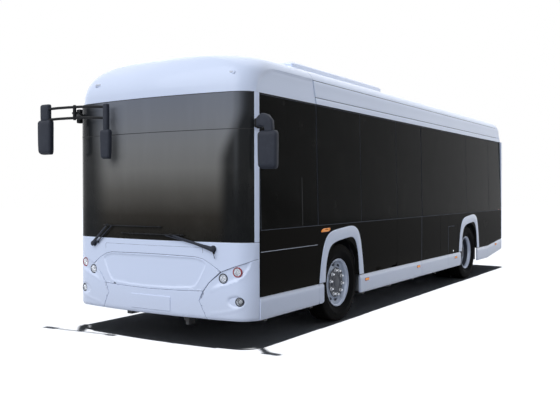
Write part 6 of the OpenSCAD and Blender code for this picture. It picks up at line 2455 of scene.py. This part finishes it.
@dataclass
class Upholstery:
    """A stuffed pad that is inflated once with cloth and then copied."""

    name: str
    size: tuple[float, float, float]
    channels: tuple[Point, ...] = ()
    upright: bool = False
    voxel: float = 0.0075
    cap: float = 0.010

    def __post_init__(self) -> None:
        """Shapes the pad once."""
        self.mesh = self._shape()

    def _blank(self) -> bpy.types.Object:
        """Crowned closed form with sides that pull in between the corners."""
        w, l, t = self.size
        mould = Mould()
        rows = []
        levels = [(-1.0, 0.80), (-0.93, 0.93), (-0.55, 0.985), (0.0, 1.0), (0.55, 0.985), (0.93, 0.93),
                  (1.0, 0.80)]
        for level, share in levels:
            ring = []
            for p in rounded_box(w * share - 0.016, l * share - 0.016, 0.045, 6):
                pull = 1 - 0.020 * math.cos(math.pi * p[0] / w) - 0.020 * math.cos(math.pi * p[1] / l)
                ring.append(Vector((p[0] * pull, p[1] * pull, level * (t / 2 - 0.008))))
            rows.append(ring)
        mould.rings(rows)
        mesh = bpy.data.meshes.new(self.name)
        mesh.from_pydata([tuple(v) for v in mould.verts], [], mould.faces)
        blank = bpy.data.objects.new(self.name, mesh)
        bpy.context.scene.collection.objects.link(blank)
        return blank

    def _shape(self) -> bpy.types.Mesh:
        """Remeshes, inflates and seams the pad.

        Returns:
            The finished mesh.
        """
        blank = self._blank()
        mod = blank.modifiers.new("even", "REMESH")
        mod.mode, mod.voxel_size = "VOXEL", self.voxel
        self._apply(blank, mod.name)
        rest = [v.co.copy() for v in blank.data.vertices]
        self._inflate(blank)
        for vertex, start in zip(blank.data.vertices, rest):
            move = vertex.co - start
            if move.length > self.cap:
                vertex.co = start + move.normalized() * self.cap
        self._sew(blank.data)
        mesh = blank.data
        mesh.polygons.foreach_set("use_smooth", [True] * len(mesh.polygons))
        mesh.materials.append(Look.FABRIC.make())
        bpy.data.objects.remove(blank)
        return mesh

    def _apply(self, item: bpy.types.Object, name: str) -> None:
        """Applies a modifier."""
        with bpy.context.temp_override(object=item, active_object=item, selected_objects=[item]):
            bpy.ops.object.modifier_apply(modifier=name)

    def _inflate(self, item: bpy.types.Object) -> None:
        """Runs the cloth under pressure and keeps the result."""
        cloth = item.modifiers.new("stuffing", "CLOTH")
        settings = cloth.settings
        settings.quality, settings.mass = 6, 0.3
        settings.tension_stiffness = settings.compression_stiffness = 20
        settings.bending_stiffness = 1.2
        settings.use_pressure, settings.uniform_pressure_force = True, 4.0
        settings.effector_weights.gravity = 0.0
        cloth.collision_settings.use_collision = False
        cloth.point_cache.frame_start, cloth.point_cache.frame_end = 1, 20
        scene = bpy.context.scene
        for step in range(1, 21):
            scene.frame_set(step)
        self._apply(item, cloth.name)
        scene.frame_set(1)

    def _sew(self, mesh: bpy.types.Mesh) -> None:
        """Presses in the sewn channels and the piping line, and flattens the resting face."""
        w, l, t = self.size
        for vertex in mesh.vertices:
            co = vertex.co
            top = co.z > 0
            for _, line in self.channels:
                depth = 0.006 * math.exp(-(((co.y - line) / 0.006) ** 2)) * (1 - ease(abs(co.x), w * 0.42, w * 0.5))
                co.z -= depth if top else 0.0
            edge = math.exp(-(((abs(co.z) - t * 0.30) / 0.004) ** 2))
            co.x *= 1 - 0.008 * edge
            co.y *= 1 - 0.006 * edge
            co.x = max(-w / 2, min(w / 2, co.x))
            co.y = max(-l / 2, min(l / 2, co.y))
            co.z = max(-t / 2, min(t / 2, co.z)) if not top else min(t / 2 + 0.006, co.z)

    def copy(self, name: str, at: Vector, tilt: float) -> bpy.types.Object:
        """Places one pad.

        Args:
            name: piece name.
            at: middle of the pad.
            tilt: extra lean in degrees.

        Returns:
            The object.
        """
        turn = Matrix.Rotation(math.radians((90.0 if self.upright else 0.0) + tilt), 4, "X")
        mesh = self.mesh.copy()
        mesh.transform(Matrix.Translation(at) @ turn)
        piece = bpy.data.objects.new(name, mesh)
        bpy.context.scene.collection.objects.link(piece)
        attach(piece, "body")
        LOG.info("%s: %d faces", name, len(mesh.polygons))
        return piece


@dataclass
class DriverStation:
    """Dash, instrument hood, column, wheel, seat and partition."""

    rim_at: tuple[float, float, float] = (0.70, 0.44, 1.045)
    rim_radius: float = 0.225
    lean: float = 25.0

    def build(self) -> None:
        """Builds the driver's place."""
        self.dash()
        self.wheel()
        self.seat()
        self.partition()

    def dash(self) -> None:
        """Dash with its instrument hood, switches and vents."""
        profile = [(-0.015, 0.350), (0.055, 0.350), (0.062, 0.60), (0.060, 0.890), (0.075, 0.905),
                   (0.315, 0.955), (0.328, 0.968), (0.318, 1.02), (0.300, 1.043), (0.20, 1.062),
                   (0.09, 1.084), (0.02, 1.080), (-0.015, 1.066)]
        rows = []
        for x, pull in ((-0.296, 0.012), (-0.286, 0.0), (0.2, 0.0), (0.6, 0.0), (1.10, 0.0), (1.114, 0.012)):
            mid_s, mid_z = 0.10, 0.95
            rows.append([Vector((x, SHELL.y(s + (mid_s - s) * pull), z + (mid_z - z) * pull)) for s, z in profile])
        piece = Mould().rings(rows).show("dash", Look.TRIM, sharp=40)
        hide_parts("driver_station")
        hood, dials, keys, vents = Mould(), Mould(), Mould(), Mould()
        rows = []
        for x, drop in ((0.48, 0.03), (0.50, 0.008), (0.56, 0.0), (0.84, 0.0), (0.90, 0.008), (0.92, 0.03)):
            rows.append([Vector((x, SHELL.y(s), z - drop * (z > 1.05))) for s, z in
                         ((0.12, 1.05), (0.30, 1.03), (0.275, 1.085), (0.24, 1.108), (0.14, 1.10))])
        hood.rings(rows)
        hood.show("instrument_hood", Look.WALL, sharp=40)
        face = Vector((0, 0.83, 0.55)).normalized()
        for x, r in ((0.60, 0.045), (0.70, 0.045), (0.80, 0.045)):
            at = Vector((x, SHELL.y(0.292), 1.058))
            dials.turned([(r, -0.004), (r, 0.003), (r - 0.006, 0.004), (r - 0.008, 0.0), (0.0005, 0.0)], at, face, 32)
            dials.tube([at + face * 0.002, at + face * 0.002 + Vector((0.02, -0.012, 0.02))], 0.0016, 6)
        dials.show("dash_dials", Look.CHROME)
        for k in range(10):
            x = 0.93 + 0.0 * k if k > 9 else 0.18 + 0.034 * k
            at = Vector((x, SHELL.y(0.312), 1.0))
            keys.block((x - 0.012, at.y - 0.006, 0.985), (x + 0.012, at.y + 0.012, 1.012), 0.003)
        keys.show("dash_switches", Look.WALL)
        for x in (-0.12, 0.02, 1.00):
            for k in range(5):
                z = 0.985 + 0.010 * k
                vents.block((x - 0.05, SHELL.y(0.31), z), (x + 0.05, SHELL.y(0.327) - 0.02 * (z > 1.02), z + 0.004),
                            0.001)
        vents.show("dash_vents", Look.WALL)

    def wheel(self) -> None:
        """Column and steering wheel with three spokes."""
        x, s, z = self.rim_at
        centre = Vector((x, SHELL.y(s), z))
        lean = math.radians(self.lean)
        axis = Vector((0, math.sin(lean), math.cos(lean)))
        across, down = Vector((1, 0, 0)), axis.cross(Vector((1, 0, 0)))
        rim = Mould()
        ring = [centre + (across * math.cos(a) + down * math.sin(a)) * self.rim_radius
                for a in (2 * math.pi * k / 64 for k in range(65))]
        rim.tube(ring, 0.0155, 12, up=axis)
        rim.show("steering_rim", Look.RUBBER)
        hub = Mould()
        hub.turned([(0.030, -0.035), (0.062, -0.022), (0.066, -0.006), (0.058, 0.006), (0.030, 0.011),
                    (0.0005, 0.012)], centre - axis * 0.012, axis, 36)
        for a in (math.radians(90), math.radians(200), math.radians(340)):
            out = across * math.cos(a) + down * math.sin(a)
            hub.tube([centre + out * (0.045 + 0.175 * k / 5) - axis * 0.010 * (1 - k / 5) for k in range(6)],
                     [0.019, 0.016, 0.014, 0.013, 0.013, 0.014], 10, 0.42, axis)
        hub.tube([Vector((x, SHELL.y(0.31), 0.985)), Vector((x, SHELL.y(0.36), 1.006)),
                  Vector((x, SHELL.y(0.425), 1.030))], [0.036, 0.030, 0.026], 20)
        hub.tube([Vector((x - 0.05, SHELL.y(0.37), 1.008)), Vector((x - 0.16, SHELL.y(0.385), 1.018)),
                  Vector((x - 0.19, SHELL.y(0.388), 1.020))], [0.006, 0.0065, 0.009], 10)
        hub.show("steering_hub", Look.WALL)

    def seat(self) -> None:
        """Driver's suspended seat with bellows, cushion and back."""
        y = SHELL.y(0.64)
        cushion = Upholstery("driver_cushion", (0.45, 0.48, 0.118), ((0.0, -0.12), (0.0, 0.10)))
        back = Upholstery("driver_back", (0.45, 0.69, 0.105), ((0.0, -0.16), (0.0, 0.02), (0.0, 0.20)), True)
        for form, at in ((cushion, Vector((0.70, y + 0.243, 0.661))), (back, Vector((0.70, y + 0.492, 1.068)))):
            piece = form.copy(form.name, at, 0.0)
        base = Mould()
        base.block((0.62, SHELL.y(0.76), 0.345), (0.78, SHELL.y(1.04), 0.375), 0.006)
        rows = []
        for k in range(13):
            z = 0.375 + 0.19 * k / 12
            grow = 0.008 * (k % 2)
            rows.append([Vector((0.70 + p[0], SHELL.y(0.90) + p[1], z)) for p in
                         rounded_box(0.115 + 2 * grow, 0.19 + 2 * grow, 0.03, 5)])
        base.rings(rows)
        base.block((0.53, SHELL.y(0.72), 0.565), (0.87, SHELL.y(1.08), 0.600), 0.01)
        base.show("driver_seat_base", Look.RUBBER)

    def partition(self) -> None:
        """Screen behind the driver: lower panel, tinted pane and frame."""
        y0, y1 = SHELL.y(1.2405), SHELL.y(1.2615)
        low = Mould().block((0.252, y0, 0.347), (1.193, y1, 1.15), 0.005)
        low.show("driver_partition", Look.CABIN)
        frame_bars = Mould()
        mid = (y0 + y1) / 2
        frame_bars.tube([Vector((0.262, mid, 0.36)), Vector((0.262, mid, 1.95)), Vector((0.275, mid, 1.985)),
                         Vector((0.31, mid, 1.99)), Vector((1.19, mid, 1.99))], 0.0098, 12,
                        up=Vector((0, 1, 0)))
        frame_bars.show("driver_partition_rail", Look.RAIL)
        pane = Mould().block((0.275, mid - 0.003, 1.152), (1.192, mid + 0.003, 1.985), 0.001)
        pane.show("driver_partition_pane", Look.GLASS)


@dataclass
class Dressing:
    """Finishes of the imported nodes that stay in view."""

    looks: tuple[tuple[str, Finish], ...] = (
        ("underframe", Look.CHASSIS), ("cabin_floor", Look.FLOOR), ("rear_deck", Look.FLOOR),
        ("wheel_boxes", Look.FLOOR), ("left_wall", Look.WALL), ("right_wall", Look.WALL),
        ("rear_wall", Look.PAINT), ("handrails", Look.RAIL), ("front_axle", Look.CAST),
        ("rear_axle", Look.CAST), ("engine_block", Look.CAST), ("left_knuckle", Look.CAST),
        ("right_knuckle", Look.CAST))

    def build(self) -> None:
        """Gives each kept node its finish."""
        for node, look in self.looks:
            dress(node, look)
            LOG.info("%s dressed", node)


# ------------------------------------------------------------------ stage
@dataclass
class Stage:
    """Camera, world, lamps and floor."""

    place: tuple[float, float, float] = (5.351, -10.636, 1.622)
    turn: float = 0.55833
    pitch: float = 0.012385
    roll: float = -0.0017
    lens: float = 46.216
    sky: Colour = (0.80, 0.88, 1.0)
    sky_strength: float = 0.05
    tint: Colour = (0.93, 0.955, 1.0)

    def build(self) -> None:
        """Builds the camera, the world, the floor and the lamps."""
        scene = bpy.context.scene
        scene.view_settings.view_transform = "Standard"
        self.camera(scene)
        self.world(scene)
        floor = self.floor()
        self.lamps(floor)

    def camera(self, scene: bpy.types.Scene) -> None:
        """Places the camera."""
        data = bpy.data.cameras.new("view")
        data.lens, data.sensor_width = self.lens, 36.0
        data.clip_start, data.clip_end = 0.1, 400.0
        item = bpy.data.objects.new("view", data)
        scene.collection.objects.link(item)
        s, c = math.sin(self.turn), math.cos(self.turn)
        look = Vector((-s * math.cos(self.pitch), c * math.cos(self.pitch), -math.sin(self.pitch)))
        flat = Vector((c, s, 0.0))
        rise = flat.cross(look)
        right = flat * math.cos(self.roll) + rise * math.sin(self.roll)
        up = rise * math.cos(self.roll) - flat * math.sin(self.roll)
        item.matrix_world = Matrix(((right.x, up.x, -look.x, self.place[0]),
                                    (right.y, up.y, -look.y, self.place[1]),
                                    (right.z, up.z, -look.z, self.place[2]), (0, 0, 0, 1)))
        scene.camera = item

    def world(self, scene: bpy.types.Scene) -> None:
        """Soft bluish sky that looks white straight on, in gloss and through glass."""
        world = bpy.data.worlds.new("studio")
        scene.world = world
        world.use_nodes = True
        tree = world.node_tree
        tree.nodes.clear()
        nodes = Nodes.__new__(Nodes)
        nodes.tree = tree
        seen = self.seen(nodes)
        soft = nodes.add("ShaderNodeBackground", values={"Color": self.sky, "Strength": self.sky_strength})
        white = nodes.add("ShaderNodeBackground", values={"Color": (1.0, 1.0, 1.0), "Strength": 1.0})
        mix = nodes.add("ShaderNodeMixShader", values={0: seen, 1: soft, 2: white})
        out = tree.nodes.new("ShaderNodeOutputWorld")
        tree.links.new(mix.socket, out.inputs[0])

    def seen(self, nodes: Nodes) -> Wire:
        """1 for rays that come from the camera, a gloss or a see-through surface."""
        rays = nodes.add("ShaderNodeLightPath", output="Is Camera Ray")
        outs = rays.socket.node.outputs
        gloss, clear = Wire(nodes, outs["Is Glossy Ray"]), Wire(nodes, outs["Is Transmission Ray"])
        return (rays + gloss + clear).low(1.0)

    def floor(self) -> bpy.types.Object:
        """Plain pale floor."""
        mesh = bpy.data.meshes.new("floor")
        steps = 96
        ring = [(60 * math.cos(2 * math.pi * k / steps), 60 * math.sin(2 * math.pi * k / steps), 0.0)
                for k in range(steps)]
        mesh.from_pydata(ring, [], [list(range(steps))])
        nodes = Nodes("floor_white")
        tone = nodes.mix(self.seen(nodes), (0.10, 0.11, 0.13), (1.0, 1.0, 1.0))
        grain = nodes.noise(3.0, 3.0)
        tone = nodes.mix(grain * 0.01, tone, (0.9, 0.9, 0.9))
        nodes.finish(nodes.principled(Base_Color=tone, Roughness=0.9 + 0.05 * grain,
                                      Specular_IOR_Level=0.0))
        mesh.materials.append(nodes.material)
        floor = bpy.data.objects.new("floor", mesh)
        bpy.context.scene.collection.objects.link(floor)
        return floor

    def lamps(self, floor: bpy.types.Object) -> None:
        """High light for the floor and roof, and soft lamps round the bus that leave the floor alone.

        Args:
            floor: floor object.
        """
        groups = {}
        for name, state in (("floor_lit", "INCLUDE"), ("floor_unlit", "EXCLUDE")):
            groups[name] = bpy.data.collections.new(name)
            groups[name].objects.link(floor)
            groups[name].collection_objects[0].light_linking.link_state = state
        for name, tilt, heading, power, spread, group in (
                ("high_light", 1.5, 0.0, 3.45, 1.2, "floor_lit"),
                ("front_light", 54.0, -6.0, 2.70, 70.0, "floor_unlit"),
                ("left_light", 96.0, 86.0, 1.00, 70.0, "floor_unlit"),
                ("right_light", 86.0, -94.0, 0.90, 90.0, "floor_unlit"),
                ("rear_light", 55.0, 180.0, 1.50, 90.0, "floor_unlit")):
            data = bpy.data.lights.new(name, "SUN")
            data.energy, data.angle, data.color = power, math.radians(spread), self.tint
            item = bpy.data.objects.new(name, data)
            item.rotation_euler = (math.radians(tilt), 0.0, math.radians(heading))
            item.location = (0, 0, 9)
            bpy.context.scene.collection.objects.link(item)
            item.light_linking.receiver_collection = groups[group]


def main() -> None:
    """Builds the bus and its stage, and notes the sizes."""
    logging.basicConfig(level=logging.INFO, format="%(message)s")
    Stage().build()
    for part in (FrontFace(), Windshield(), Mirrors(), Roof(),
                 Flank(Side.LEFT, ((0.020, 1.215), (1.235, 2.396), (2.404, 3.592), (3.600, 4.582),
                                   (4.602, 6.846), (6.854, 8.276), (8.284, 9.170))),
                 Flank(Side.RIGHT, ((1.300, 2.396), (2.404, 3.560), (4.940, 6.846), (6.854, 8.276),
                                    (8.284, 9.170)), ((0.160, 1.240), (3.630, 4.870))),
                 Flap(), Doorway("front", 0.160, 1.240), Doorway("middle", 3.630, 4.870),
                 RearFace(), Wheels(), Seats(), DriverStation(), Dressing()):
        LOG.info("-- %s", type(part).__name__)
        part.build()
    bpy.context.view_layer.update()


if __name__ == "__main__":
    main()
